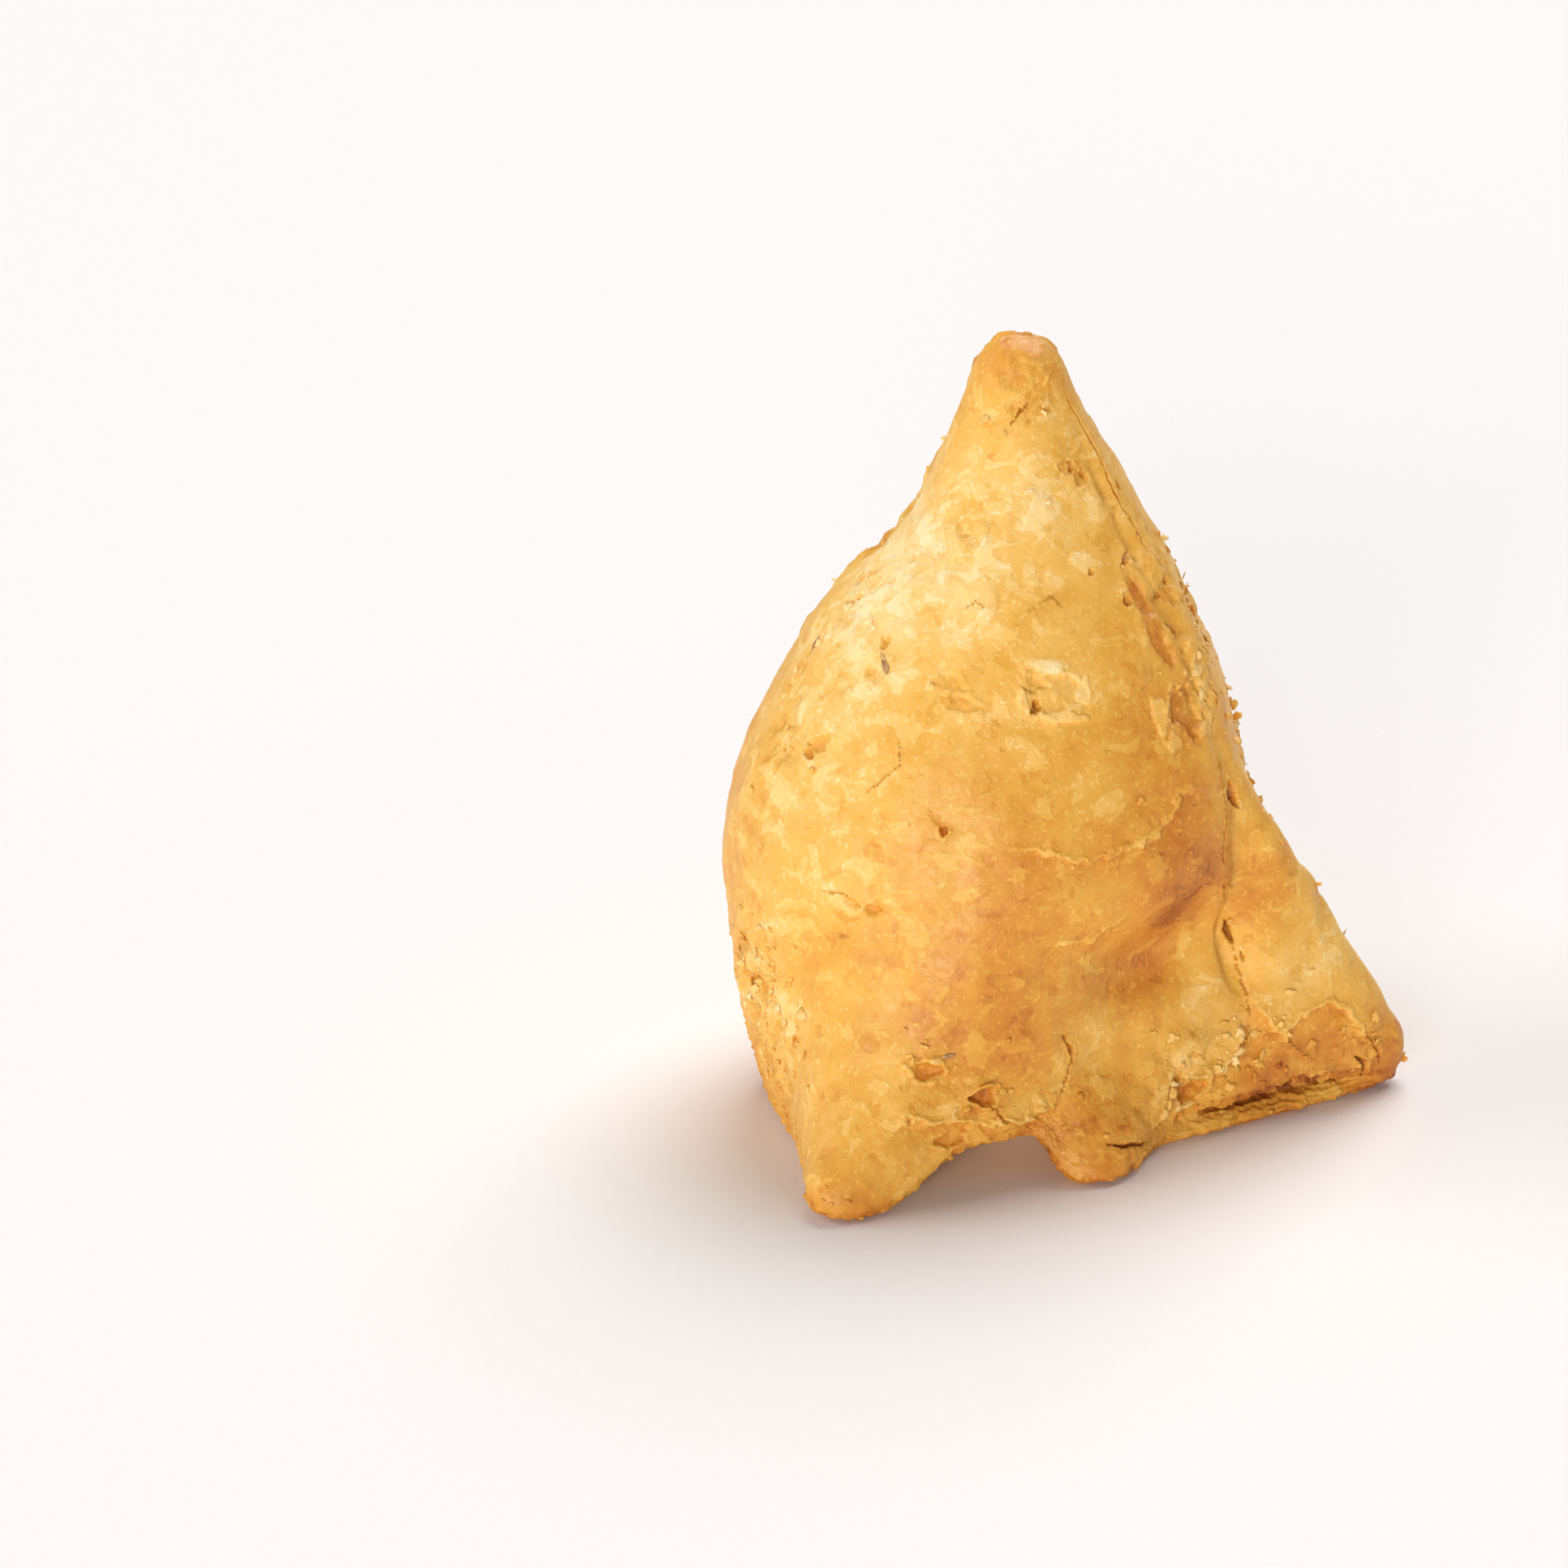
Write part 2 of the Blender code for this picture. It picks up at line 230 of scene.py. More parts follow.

# %% [markdown]
# ### The marks on the crust
# Three kinds of mark make this samosa the one it is. A pit is a ragged oval hollow with a lip, a
# crack is a narrow groove along a path, and a lap is a step along a path where one layer of skin
# lies over another. They are listed first, because the mesh gets its finest cells where they are.
# On the cone and the belly there are a blister that burst and left a pale collapsed skin, pits
# where steam came out, hair cracks, and the long lap where a layer of dough ends.

# %% Pits on the cone and the belly
# Rows: angle, height, half width, half height, depth, turn clockwise, lip, share of painted shade in the hollow,
# share laid bare
PITS = [
    # the burst blister: a shallow dent, rags of skin round it, a hollow, and a wedge at its lower left with painted
    # shade in it
    (-22.5, 54.4, 3.3, 2.2, 0.25, 8.0, 0.14, 0.0, 0.0),
    (-24.0, 57.0, 2.3, 0.70, -0.28, 12.0, 0.0, 0.0, 0.0),
    (-20.5, 51.9, 2.4, 0.60, -0.40, 6.0, 0.0, 0.0, 0.0),
    (-14.0, 54.2, 0.8, 1.50, -0.30, 15.0, 0.0, 0.0, 0.0),
    (-31.5, 53.6, 0.6, 1.20, -0.25, -15.0, 0.0, 0.0, 0.0),
    (-28.2, 55.4, 1.2, 0.9, 0.45, 0.0, 0.06, 0.0, 0.4),
    (-28.0, 53.1, 0.55, 0.85, 1.2, 15.0, 0.05, 0.8, 1.0),
    # steam pits
    (9.6, 62.2, 0.6, 0.8, 0.9, -15.0, 0.32, 0.3, 1.0),
    (39.0, 72.5, 0.35, 0.5, 0.6, -10.0, 0.10, 0.3, 1.0),
    (-52.0, 55.4, 1.9, 0.9, 0.25, 10.0, 0.10, 0.0, 0.35),
    (-47.0, 53.4, 1.8, 0.9, 0.22, 10.0, 0.10, 0.0, 0.40),
    (-48.0, 40.8, 0.5, 0.6, 0.9, 0.0, 0.22, 0.3, 1.0),
    (-90.0, 46.0, 0.3, 0.5, 0.6, 0.0, 0.05, 0.5, 1.0),
    (-80.0, 47.6, 1.5, 0.9, 0.40, -30.0, 0.10, 0.0, 0.8),
    (-82.0, 46.4, 0.6, 0.6, 0.60, 0.0, 0.05, 0.3, 1.0),
    (-98.0, 60.4, 1.2, 0.5, 0.50, -20.0, 0.15, 0.3, 0.8),
    (-93.0, 61.2, 0.8, 0.5, 0.50, -20.0, 0.15, 0.2, 0.8),
    (-66.0, 28.4, 0.7, 0.35, 0.20, -10.0, 0.0, 0.4, 0.6),
    (-73.5, 58.2, 0.6, 0.8, 0.60, 0.0, 0.10, 0.2, 1.0),
    # the slot on the left of the belly
    (-64.5, 32.2, 1.1, 0.40, 0.6, 5.0, 0.14, 0.0, 0.5),
    (-60.5, 31.8, 1.1, 0.45, 0.6, 5.0, 0.14, 0.0, 0.5),
    # square hollows high on the right, where a layer has come off
    (0.5, 75.6, 1.0, 0.9, 0.28, 5.0, 0.14, 0.0, 0.15),
    (9.0, 74.3, 0.9, 0.95, 0.28, 20.0, 0.14, 0.0, 0.15),
    (-4.5, 66.4, 1.5, 1.1, -0.12, 20.0, 0.0, 0.0, 0.0),
    (-2.5, 65.4, 0.35, 0.4, 0.5, 0.0, 0.0, 0.2, 1.0),
]
print("pits on the cone:", len(PITS))

# %% Cracks and laps on the cone and the belly
# Rows: path of (angle, height), half width, depth, lip, share of painted shade in the groove, wander
CRACKS = [
    (((-72.0, 32.8), (-68.0, 33.2), (-63.0, 32.6)), 0.12, 0.35, 0.12, 0.4, 0.3),
    (((-51.5, 62.3), (-48.0, 62.8), (-44.5, 62.6)), 0.12, 0.30, 0.20, 0.3, 0.2),
    (((-31.0, 62.0), (-22.0, 63.6), (-16.8, 62.2)), 0.18, -0.24, 0.0, 0.0, 0.3),
    (((-61.4, 50.0), (-59.0, 47.3), (-62.7, 45.2), (-66.0, 43.8)), 0.10, 0.20, 0.18, 0.1, 0.3),
    (((-44.0, 79.9), (-37.0, 81.2), (-26.0, 82.4)), 0.16, 0.45, 0.16, 0.4, 0.3),
]
# Rows: path with the upper layer on its left, step, fade, browning below, lip, share laid bare
LAPS = [
    (
        ((-38.0, 39.4), (-28.0, 38.2), (-16.0, 36.4), (-6.0, 37.2), (2.6, 38.0), (8.0, 39.8), (11.0, 41.8), (23.0, 41.4)),
        0.32, 3.5, 0.08, 0.16, 0.2,
    ),
    (((-28.0, 27.4), (-14.0, 27.0), (-9.0, 28.6), (-4.0, 29.5)), 0.20, 3.0, 0.05, 0.10, 0.0),
]
print("cracks and laps on the cone:", len(CRACKS), len(LAPS))

# %% [markdown]
# The right of the cone is where the rolled sheet overlaps itself. Its edge runs from the apex down
# to the pleat, and it has torn open: a groove above, a big hollow with bare orange dough half way
# down, and small holes beside the edge. The pleat ends in a small pinch, darkened with painted
# shade, with a hair crack below.

# %% Marks on the ridge and the pleat
PITS += [
    (20.2, 50.1, 2.2, 3.1, 0.80, -12.0, 0.22, 0.0, 0.6),
    (9.5, 50.4, 1.0, 2.2, -0.32, -10.0, 0.0, 0.0, 0.0),
    (12.5, 47.2, 1.1, 1.0, -0.22, -35.0, 0.0, 0.0, 0.0),
    (29.0, 48.4, 0.8, 2.4, -0.28, -10.0, 0.0, 0.0, 0.0),
    (30.0, 53.6, 0.7, 1.3, -0.18, -10.0, 0.0, 0.0, 0.0),
    (31.1, 39.4, 0.65, 1.6, 1.10, -15.0, 0.16, 0.6, 1.0),
    (36.0, 49.8, 0.30, 0.7, 0.7, 0.0, 0.10, 0.4, 1.0),
    (31.0, 61.6, 0.9, 1.9, 0.28, -20.0, 0.05, 0.0, 0.3),
    (26.0, 56.8, 1.0, 1.6, 0.15, -20.0, 0.08, 0.0, 0.2),
]
CRACKS += [
    (((14.0, 65.0), (16.0, 60.5), (16.5, 57.6), (20.0, 54.0)), 1.40, 0.30, 0.05, 0.0, 0.3),
    (((20.0, 84.0), (24.0, 82.6), (31.0, 79.4), (33.2, 76.0), (31.0, 71.3), (33.0, 68.0), (31.0, 64.8)), 0.18, 0.45, 0.05, 0.15, 0.15),
    (((13.0, 65.3), (17.5, 65.9), (24.0, 66.4)), 0.40, 0.80, 0.14, 0.4, 0.1),
    (((31.0, 45.5), (26.5, 42.8), (26.9, 39.0), (25.0, 35.5), (24.0, 32.9), (27.0, 28.4), (31.5, 24.0)), 0.20, 0.40, 0.16, 0.25, 0.15),
    (((31.2, 24.4), (32.0, 22.8), (33.0, 21.0)), 0.36, 1.10, 0.10, 0.85, 0.1),
    (((32.8, 21.4), (33.2, 18.4), (33.0, 15.4), (32.4, 12.8)), 0.13, 0.35, 0.08, 0.3, 0.15),
    (((33.6, 20.4), (33.9, 19.2)), 0.22, 0.50, 0.05, 0.5, 0.1),
]
print("marks so far:", len(PITS), len(CRACKS), len(LAPS))

# %% [markdown]
# The seam's lower edge is the roughest part. Its front ply is torn along a slanting line, the ply
# behind shows below it, and between them is a cave with painted shade inside. Left of the tongue the
# edge arches up, and holes with bare orange dough open just above it.

# %% Marks on the seam
PITS += [
    (-48.2, 14.9, 1.7, 1.0, 0.60, 8.0, 0.22, 0.0, 0.4),
    (-51.0, 15.4, 0.8, 0.50, -0.40, 0.0, 0.0, 0.0, 0.0),
    (-46.2, 15.9, 0.9, 0.45, -0.40, 15.0, 0.0, 0.0, 0.0),
    (-46.8, 13.9, 0.7, 0.45, -0.40, -20.0, 0.0, 0.0, 0.0),
    (-38.4, 11.4, 1.4, 1.0, 1.20, 10.0, 0.22, 0.1, 1.0),
    (-43.0, 7.3, 1.9, 0.9, 0.45, -10.0, 0.12, 0.0, 0.7),
    (16.5, 5.8, 2.1, 1.0, 1.40, -22.0, 0.28, 0.30, 1.0),
    # the cave between the plies
    (39.0, 3.7, 2.4, 0.80, 1.3, -8.0, 0.20, 0.75, 1.0),
    (44.0, 3.5, 2.2, 0.75, 1.1, 4.0, 0.20, 0.75, 1.0),
]
CRACKS += [
    (((17.0, 2.5), (24.0, 2.5), (32.0, 2.6), (40.0, 2.7), (47.0, 2.6), (50.5, 2.5)), 0.36, 0.6, 0.0, 0.75, 0.06),
    (((-22.0, 17.0), (-18.5, 14.0), (-20.0, 11.5), (-22.0, 9.2)), 0.22, 0.6, 0.18, 0.2, 0.3),
    (((-13.0, 4.3), (-9.0, 3.8), (-4.7, 3.1), (0.0, 2.4)), 0.26, 0.9, 0.14, 0.6, 0.15),
    (((-37.0, 10.2), (-35.0, 8.6), (-32.5, 7.4)), 0.20, 0.6, 0.12, 0.3, 0.3),
    (((49.5, 5.5), (51.0, 4.2), (51.6, 2.4)), 0.30, 0.8, 0.12, 0.6, 0.1),
    (((51.0, 8.0), (52.5, 5.6), (53.0, 3.8)), 0.20, 0.5, 0.12, 0.4, 0.1),
]
LAPS += [
    (((2.0, 2.6), (7.5, 4.6), (9.5, 6.7), (14.5, 7.6), (21.0, 7.3), (26.5, 8.6), (30.2, 10.6), (30.0, 13.4)), 1.2, 4.5, 0.04, 0.35, 0.7),
    (((32.5, 16.5), (34.7, 12.1), (38.0, 9.4), (41.0, 11.9), (46.4, 12.5), (48.8, 10.6), (50.4, 7.2), (53.6, 5.2)), 0.6, 4.0, 0.04, 0.25, 0.5),
    (((-53.5, 7.0), (-50.0, 10.4), (-46.7, 8.9), (-44.5, 9.2), (-39.7, 8.4), (-35.2, 7.9), (-28.5, 7.6), (-24.0, 8.6), (-21.0, 11.0)), 0.6, 3.5, 0.04, 0.25, 0.6),
]
print("marks in all:", len(PITS), "pits,", len(CRACKS), "cracks,", len(LAPS), "laps")

# %% [markdown]
# ### Where the crust is rough
# Dough that was rolled smooth fries to a satin skin, and dough that was floured, stretched or
# folded fries to blisters and flakes. On this one the upper left, the ridge on the right, the
# crumbly left edge and the torn seam are rough, and the belly is nearly smooth.

# %% Rough places
# Rows: angle, height, reach, amount
ROUGH_PLACES = (
    (-92.0, 58.0, 12.0, 0.40), (-76.0, 66.0, 9.0, 0.30), (-30.0, 84.0, 5.0, 0.35),
    (-92.0, 45.0, 9.0, 0.3), (10.0, 75.0, 5.0, 0.5), (30.0, 62.0, 8.0, 0.5), (38.0, 53.0, 5.0, 0.45),
    (-90.0, 17.0, 7.0, 1.2), (-84.0, 9.0, 5.0, 0.6), (-48.0, 15.0, 4.0, 0.3), (-33.0, 8.0, 7.0, 0.5),
    (0.0, 5.0, 8.0, 0.35), (18.0, 8.0, 6.0, 0.6), (55.0, 22.0, 7.0, 0.5),
    (55.0, 34.0, 8.0, 0.6), (51.0, 6.0, 5.0, 0.4), (-60.0, 3.0, 6.0, 0.3),
)


def spots(where, places):
    """The sum of soft spots round places, at each point of where."""
    total = np.zeros(len(where))
    for angle, height, reach, amount in places:
        place = np.array(on_crust(angle, height)[0])
        total += amount * np.exp(-((where - place) ** 2).sum(axis=1) / reach ** 2)
    return total


print("rough at the torn seam:", round(float(spots(np.array([on_crust(0.0, 5.0)[0]]), ROUGH_PLACES)[0]), 2))

# %% [markdown]
# ### Vertices where they show
# The edge of a flake needs cells of about a third of a millimetre, but cells that small all over
# would be far too many. So every edge that is too long for its place is cut in half, pass after
# pass. A triangle is always cut at its longest edge first, which keeps the triangles well shaped,
# and each new vertex is lifted off the flat facet onto the curve that the normals on both sides tell.

# %% Halve long edges
ROUNDNESS = 0.75
MARK_CELL = 0.42


def halve_long_edges(points, normals, triangles, allowed):
    """Cut the edges that are longer than allowed, and say whether any was."""
    ahead = np.roll(triangles, -1, axis=1)
    keys = np.minimum(triangles, ahead) * len(points) + np.maximum(triangles, ahead)
    edges, edge_of = np.unique(keys, return_inverse=True)
    edge_of = edge_of.reshape(-1, 3)
    first, second = edges // len(points), edges % len(points)
    middle = (points[first] + points[second]) / 2.0
    normal = normals[first] + normals[second]
    normal /= np.linalg.norm(normal, axis=1, keepdims=True)
    length = np.linalg.norm(points[first] - points[second], axis=1)
    cut = np.zeros(len(edges), dtype=bool)
    candidates = np.flatnonzero(length > MARK_CELL)
    cut[candidates] = length[candidates] > allowed(middle[candidates], normal[candidates])
    turn = length[edge_of].argmax(axis=1)
    longest = edge_of[np.arange(len(triangles)), turn]
    missed = cut[edge_of].any(axis=1) & ~cut[longest]
    while missed.any():
        cut[longest[missed]] = True
        missed = cut[edge_of].any(axis=1) & ~cut[longest]
    lift = sum(((points[end] - middle) * normals[end]).sum(axis=1, keepdims=True) * normals[end] for end in (first, second))
    middle += ROUNDNESS * lift / 2.0
    number = np.full(len(edges), -1)
    number[cut] = len(points) + np.arange(cut.sum())
    order = (turn[:, None] + np.arange(3)) % 3
    a, b, c = np.take_along_axis(triangles, order, axis=1).T
    ab, bc, ca = number[np.take_along_axis(edge_of, order, axis=1)].T
    pieces = [np.stack([a, b, c], axis=1)[ab < 0]]
    for where, corners in (
        ((ab >= 0) & (ca < 0), (a, ab, c)),
        ((ab >= 0) & (ca >= 0), (a, ab, ca)),
        ((ab >= 0) & (ca >= 0), (ab, c, ca)),
        ((ab >= 0) & (bc < 0), (ab, b, c)),
        ((ab >= 0) & (bc >= 0), (ab, b, bc)),
        ((ab >= 0) & (bc >= 0), (ab, bc, c)),
    ):
        pieces.append(np.stack(corners, axis=1)[where])
    return np.concatenate([points, middle[cut]]), np.concatenate([normals, normal[cut]]), np.concatenate(pieces), cut.any()

# %% [markdown]
# The marks get the finest cells, then the rough places. A smooth belly can do with cells of a
# millimetre, the hidden side with slightly larger ones, and the underside stays coarse.

# %% Cell sizes
ROUGH_CELL = 0.62
SMOOTH_CELL = 1.0
HIDDEN_FACTOR = 1.6
UNDER_CELL = 2.0
RIM_CELL = 0.6
RIM_TOP = 12.0
SHOWN_SIDE = np.array((-0.5, -0.8, 0.33))

mark_places = [(np.array(on_crust(row[0], row[1])[0]), 1.3 * max(row[2], row[3]) + 0.5) for row in PITS]
for row in CRACKS + LAPS:
    stops = [np.array(on_crust(angle, height)[0]) for angle, height in row[0]]
    for start, end in zip(stops, stops[1:]):
        steps = max(int(np.linalg.norm(end - start) / 1.2), 1)
        mark_places += [(start + (end - start) * step / steps, 1.5) for step in range(steps + 1)]


def longest_edge(middle, normal):
    """The longest edge that each place may have, in mm."""
    facing = np.clip(0.5 + 2.0 * (normal @ SHOWN_SIDE), 0.0, 1.0)
    roughness = np.clip(spots(middle, ROUGH_PLACES), 0.0, 0.6) / 0.6
    allowed = SMOOTH_CELL + (ROUGH_CELL - SMOOTH_CELL) * roughness
    allowed *= HIDDEN_FACTOR + (1.0 - HIDDEN_FACTOR) * facing
    for place, reach in mark_places:
        allowed[((middle - place) ** 2).sum(axis=1) < reach * reach] = MARK_CELL
    rim = (normal[:, 2] < -0.05) & (middle[:, 2] < RIM_TOP) & (facing > 0.05)
    allowed[rim] = np.minimum(allowed[rim], RIM_CELL)
    allowed[normal[:, 2] < -0.8] = UNDER_CELL
    return allowed


points, normals, triangles, going = coarse_points, coarse_normals, coarse_triangles, True
while going:
    points, normals, triangles, going = halve_long_edges(points, normals, triangles, longest_edge)
print("crust:", len(points), "vertices,", len(triangles), "triangles")

# %% [markdown]
# ### Fields over the crust
# Relief and colour both come from fields: one number per vertex. Noise gives the fields that
# nobody plans. The hidden side gets rough patches from noise too.

# %% Fields
point_vectors = [Vector(p) for p in points]


def smooth_step(low, high, value):
    """0 before low, 1 past high, with a smooth rise between."""
    share = np.clip((value - low) / (high - low), 0.0, 1.0)
    return share * share * (3.0 - 2.0 * share)


def noise_field(size, pattern, octaves=3):
    """Noise over the crust, from about -1 to 1, in lumps of about that many mm."""
    shift = Vector((17.3, 5.1, 9.7)) * pattern
    return np.array([noise.fractal(p / size + shift, 0.7, 2.0, octaves) for p in point_vectors])


out_angle = np.degrees(np.arctan2(points[:, 0] - AXIS.x, AXIS.y - points[:, 1]))
raggedness = noise_field(1.3, 3, 3)
raggedness_fine = noise_field(0.6, 4, 2)
hidden = smooth_step(70.0, 95.0, out_angle) + smooth_step(-115.0, -135.0, out_angle)
rough = spots(points, ROUGH_PLACES) + 0.10 + 0.22 * noise_field(6.0, 5, 2)
rough += hidden * (0.15 + 0.7 * smooth_step(-0.05, 0.35, noise_field(16.0, 6, 2)))
rough = np.clip(rough, 0.0, 1.15)
print("rough share of the crust:", round(float((rough > 0.5).mean()), 2))

# %% [markdown]
# ### Relief all over
# Four kinds of unevenness lie over each other: soft swells where the dough was pushed about, a
# waxy waviness of the fried skin, flakes in steps where layers of skin have come off, and a
# crumbly grain in the rough parts. A flake is thin, so its step is only a fraction of a millimetre.

# %% General relief
SWELL = 0.30
WAVE = 0.10
FLAKE_STEP = 0.20
GRAIN = 0.06
CRUMBLE = 0.16
FLAKE_LEVELS = (-0.16, 0.02, 0.2, 0.38)
FLAKE_EDGE = 0.025

# Rows: angle, height, reach, push outwards in mm, where the crust puffed up or sank as a whole
PUFF_PLACES = (
    (58.0, 13.0, 7.0, 1.3), (57.0, 5.0, 5.0, 1.0), (-120.0, 67.0, 8.0, -1.5), (60.0, 24.0, 6.0, 0.4),
    (-60.0, 3.0, 5.0, 0.5), (22.0, 9.5, 3.5, 0.35), (-30.0, 14.0, 6.0, 0.25),
    (-14.0, 23.0, 3.0, -0.3), (-6.0, 22.5, 3.5, -0.6), (2.0, 22.0, 3.5, -0.8), (10.0, 22.6, 3.5, -0.8),
    (18.0, 23.0, 3.5, -0.7), (25.0, 23.8, 3.0, -0.5), (4.0, 29.5, 5.0, 0.4), (6.0, 15.5, 5.0, 0.3),
    (-10.0, 12.0, 3.5, -0.3),
)

swells = noise_field(7.0, 7, 2)
waves = noise_field(2.2, 8, 3)
flakes = noise_field(4.6, 9, 3) + 0.08 * raggedness
relief = SWELL * swells + WAVE * waves + spots(points, PUFF_PLACES)
flaking = smooth_step(0.25, 0.75, rough + 0.25 * swells)
steps = sum(smooth_step(level - FLAKE_EDGE, level + FLAKE_EDGE, flakes) for level in FLAKE_LEVELS)
relief -= FLAKE_STEP * flaking * (steps - 1.5)
relief += GRAIN * smooth_step(0.3, 1.0, rough) * (raggedness + 0.6 * raggedness_fine)
relief += CRUMBLE * smooth_step(0.8, 1.15, rough) * (raggedness + 0.5 * raggedness_fine)
print("relief so far, mm:", round(float(relief.min()), 2), "to", round(float(relief.max()), 2))

# %% [markdown]
# ### Press the marks into the crust
# Each mark adds to the relief, and notes for the material where flesh is laid bare, where shade
# is painted into its hollow and where the skin is pale.

# %% Tools for marks
PIT_RAGGED = 0.24
PIT_CORNERS = 0.14

bare = np.zeros(len(points))
# painted shade: how much the hollow of a pit, crack or cave is darkened
hollow_shade = np.zeros(len(points))
pale = np.zeros(len(points))
brown = np.zeros(len(points))


def around(place, right, up, reach):
    """The vertices within reach of a place, and how far right and up of it they are."""
    offset = points - np.array(place)
    near = np.flatnonzero((offset ** 2).sum(axis=1) < reach * reach)
    return near, offset[near] @ np.array(right), offset[near] @ np.array(up)


def pit(angle, height, half_width, half_height, depth, turn, rim, shade_share, bare_share):
    """A ragged oval hollow, turned clockwise by that many degrees; one of negative depth is a rag of skin."""
    place, normal, right, up = on_crust(angle, height)
    near, across, along = around(place, right, up, 2.2 * max(half_width, half_height) + 0.8)
    cosine, sine = math.cos(math.radians(turn)), math.sin(math.radians(turn))
    u, v = across * cosine - along * sine, across * sine + along * cosine
    way = np.arctan2(v / half_height, u / half_width)
    corners = PIT_CORNERS * (np.cos(3.0 * way + angle) + 0.6 * np.cos(5.0 * way + height))
    distance = np.hypot(u / half_width, v / half_height) + corners + PIT_RAGGED * raggedness[near]
    inside = smooth_step(1.16, 0.84, distance)
    lip = smooth_step(1.65, 1.2, distance) * smooth_step(0.8, 1.1, distance) * smooth_step(-0.3, 0.2, waves[near])
    relief[near] += rim * lip - depth * inside
    bare[near] = np.maximum(bare[near], smooth_step(1.4, 0.6, distance) * bare_share)
    hollow_shade[near] = np.maximum(hollow_shade[near], smooth_step(1.1, 0.3, distance) * shade_share)
    skin = lip * min(1.0, rim * 5.0) if depth > 0.0 else smooth_step(1.4, 0.7, distance)
    pale[near] = np.maximum(pale[near], skin)


def path_distance(path, reach):
    """How far each vertex is from a path of (angle, height), with the side: positive on the left of its way."""
    ends = [on_crust(angle, height) for angle, height in path]
    best = np.full(len(points), 1e6)
    side = np.zeros(len(points))
    share_along = np.zeros(len(points))
    for number, ((start, normal, right, up), (end, *rest)) in enumerate(zip(ends, ends[1:])):
        start, way = np.array(start), np.array(end - start)
        across = np.cross(np.array(normal + rest[0]).astype(float), way)
        across /= np.linalg.norm(across)
        share = np.clip((points - start) @ way / (way @ way), 0.0, 1.0)
        offset = points - start - share[:, None] * way
        distance = np.linalg.norm(offset, axis=1)
        closer = distance < best
        best[closer] = distance[closer]
        side[closer] = (offset @ across)[closer]
        share_along[closer] = (number + share[closer]) / (len(ends) - 1)
    near = np.flatnonzero(best < reach)
    return near, best[near], np.sign(side[near]), share_along[near]


def crack(path, half_width, depth, lip, shade_share, wander):
    """A narrow groove that thins out towards both ends."""
    near, distance, side, share = path_distance(path, 6.0 * half_width + 1.0)
    distance = np.abs(distance * side + wander * raggedness[near])
    width = half_width * (0.35 + 0.65 * np.sin(math.pi * np.clip(share, 0.04, 0.96)))
    ends = smooth_step(0.0, 0.12, share) * smooth_step(1.0, 0.88, share)
    groove = smooth_step(1.3, 0.4, distance / width) * np.maximum(ends, 0.0)
    relief[near] += lip * smooth_step(3.0, 1.4, distance / width) * (1.0 - groove) * ends - depth * groove
    hollow_shade[near] = np.maximum(hollow_shade[near], groove * shade_share)
    bare[near] = np.maximum(bare[near], groove)


def lap(path, step, fade, browning, lip, bare_share):
    """A step down from the left of the path's way to its right, which fades out on both sides."""
    near, distance, side, share = path_distance(path, fade * 1.5)
    signed = distance * side + 0.60 * raggedness[near] + 0.15 * raggedness_fine[near]
    ends = smooth_step(0.0, 0.15, share) * smooth_step(1.0, 0.85, share)
    upper = smooth_step(-0.16, 0.16, signed)
    fading = np.exp(-(distance / fade) ** 2) * ends
    edge = smooth_step(0.65, 0.1, np.abs(signed - 0.3)) * ends
    relief[near] += step * (upper - 0.5) * fading + lip * edge
    pale[near] = np.maximum(pale[near], 0.8 * edge)
    brown[near] += browning * (1.0 - upper) * fading
    bare[near] = np.maximum(bare[near], bare_share * smooth_step(-1.1, -0.3, signed) * (1.0 - upper) * ends)


for row in LAPS:
    lap(*row)
for row in CRACKS:
    crack(*row)
for row in PITS:
    pit(*row)
print("relief with marks, mm:", round(float(relief.min()), 2), "to", round(float(relief.max()), 2))

# %% [markdown]
# Small pits and pimples go all over, more of them where the crust is rough. Each one is dealt out
# by chance from a fixed seed, so that they are the same every time.

# %% Scattered pits and pimples
PIT_COUNT = 200
PIMPLE_COUNT = 500

dealer = random.Random(41)
corner = points[triangles]
facet_area = np.linalg.norm(np.cross(corner[:, 1] - corner[:, 0], corner[:, 2] - corner[:, 0]), axis=1) / 2.0
vertex_area = np.bincount(triangles.ravel(), np.repeat(facet_area / 3.0, 3), minlength=len(points))


def deal(count, weights):
    """Pick vertices by chance, in proportion to weights."""
    return dealer.choices(range(len(points)), weights=weights.tolist(), k=count)


def spot_on(vertex):
    """The place, right and up of a spot at a vertex."""
    normal = Vector(normals[vertex])
    right = Vector((0.0, 0.0, 1.0)).cross(normal).normalized()
    return Vector(points[vertex]), right, normal.cross(right)


shown_share = smooth_step(-0.6, -0.2, normals[:, 2])
for vertex in deal(PIT_COUNT, vertex_area * shown_share * smooth_step(0.3, 0.8, rough)):
    place, right, up = spot_on(vertex)
    half, depth = dealer.uniform(0.25, 0.6), dealer.uniform(0.15, 0.45)
    near, across, along = around(place, right, up, 2.5 * half)
    distance = np.hypot(across / (half * dealer.uniform(0.8, 1.5)), along / half) + 0.3 * raggedness_fine[near]
    inside = smooth_step(1.2, 0.6, distance)
    relief[near] -= depth * inside
    bare[near] = np.maximum(bare[near], 0.8 * inside)
for vertex in deal(PIMPLE_COUNT, vertex_area * shown_share):
    place, right, up = spot_on(vertex)
    half, rise = dealer.uniform(0.35, 0.7), dealer.uniform(0.05, 0.14)
    near, across, along = around(place, right, up, 2.0 * half)
    inside = smooth_step(1.2, 0.2, np.hypot(across, along) / half)
    relief[near] += rise * inside
    pale[near] = np.maximum(pale[near], 0.5 * inside)
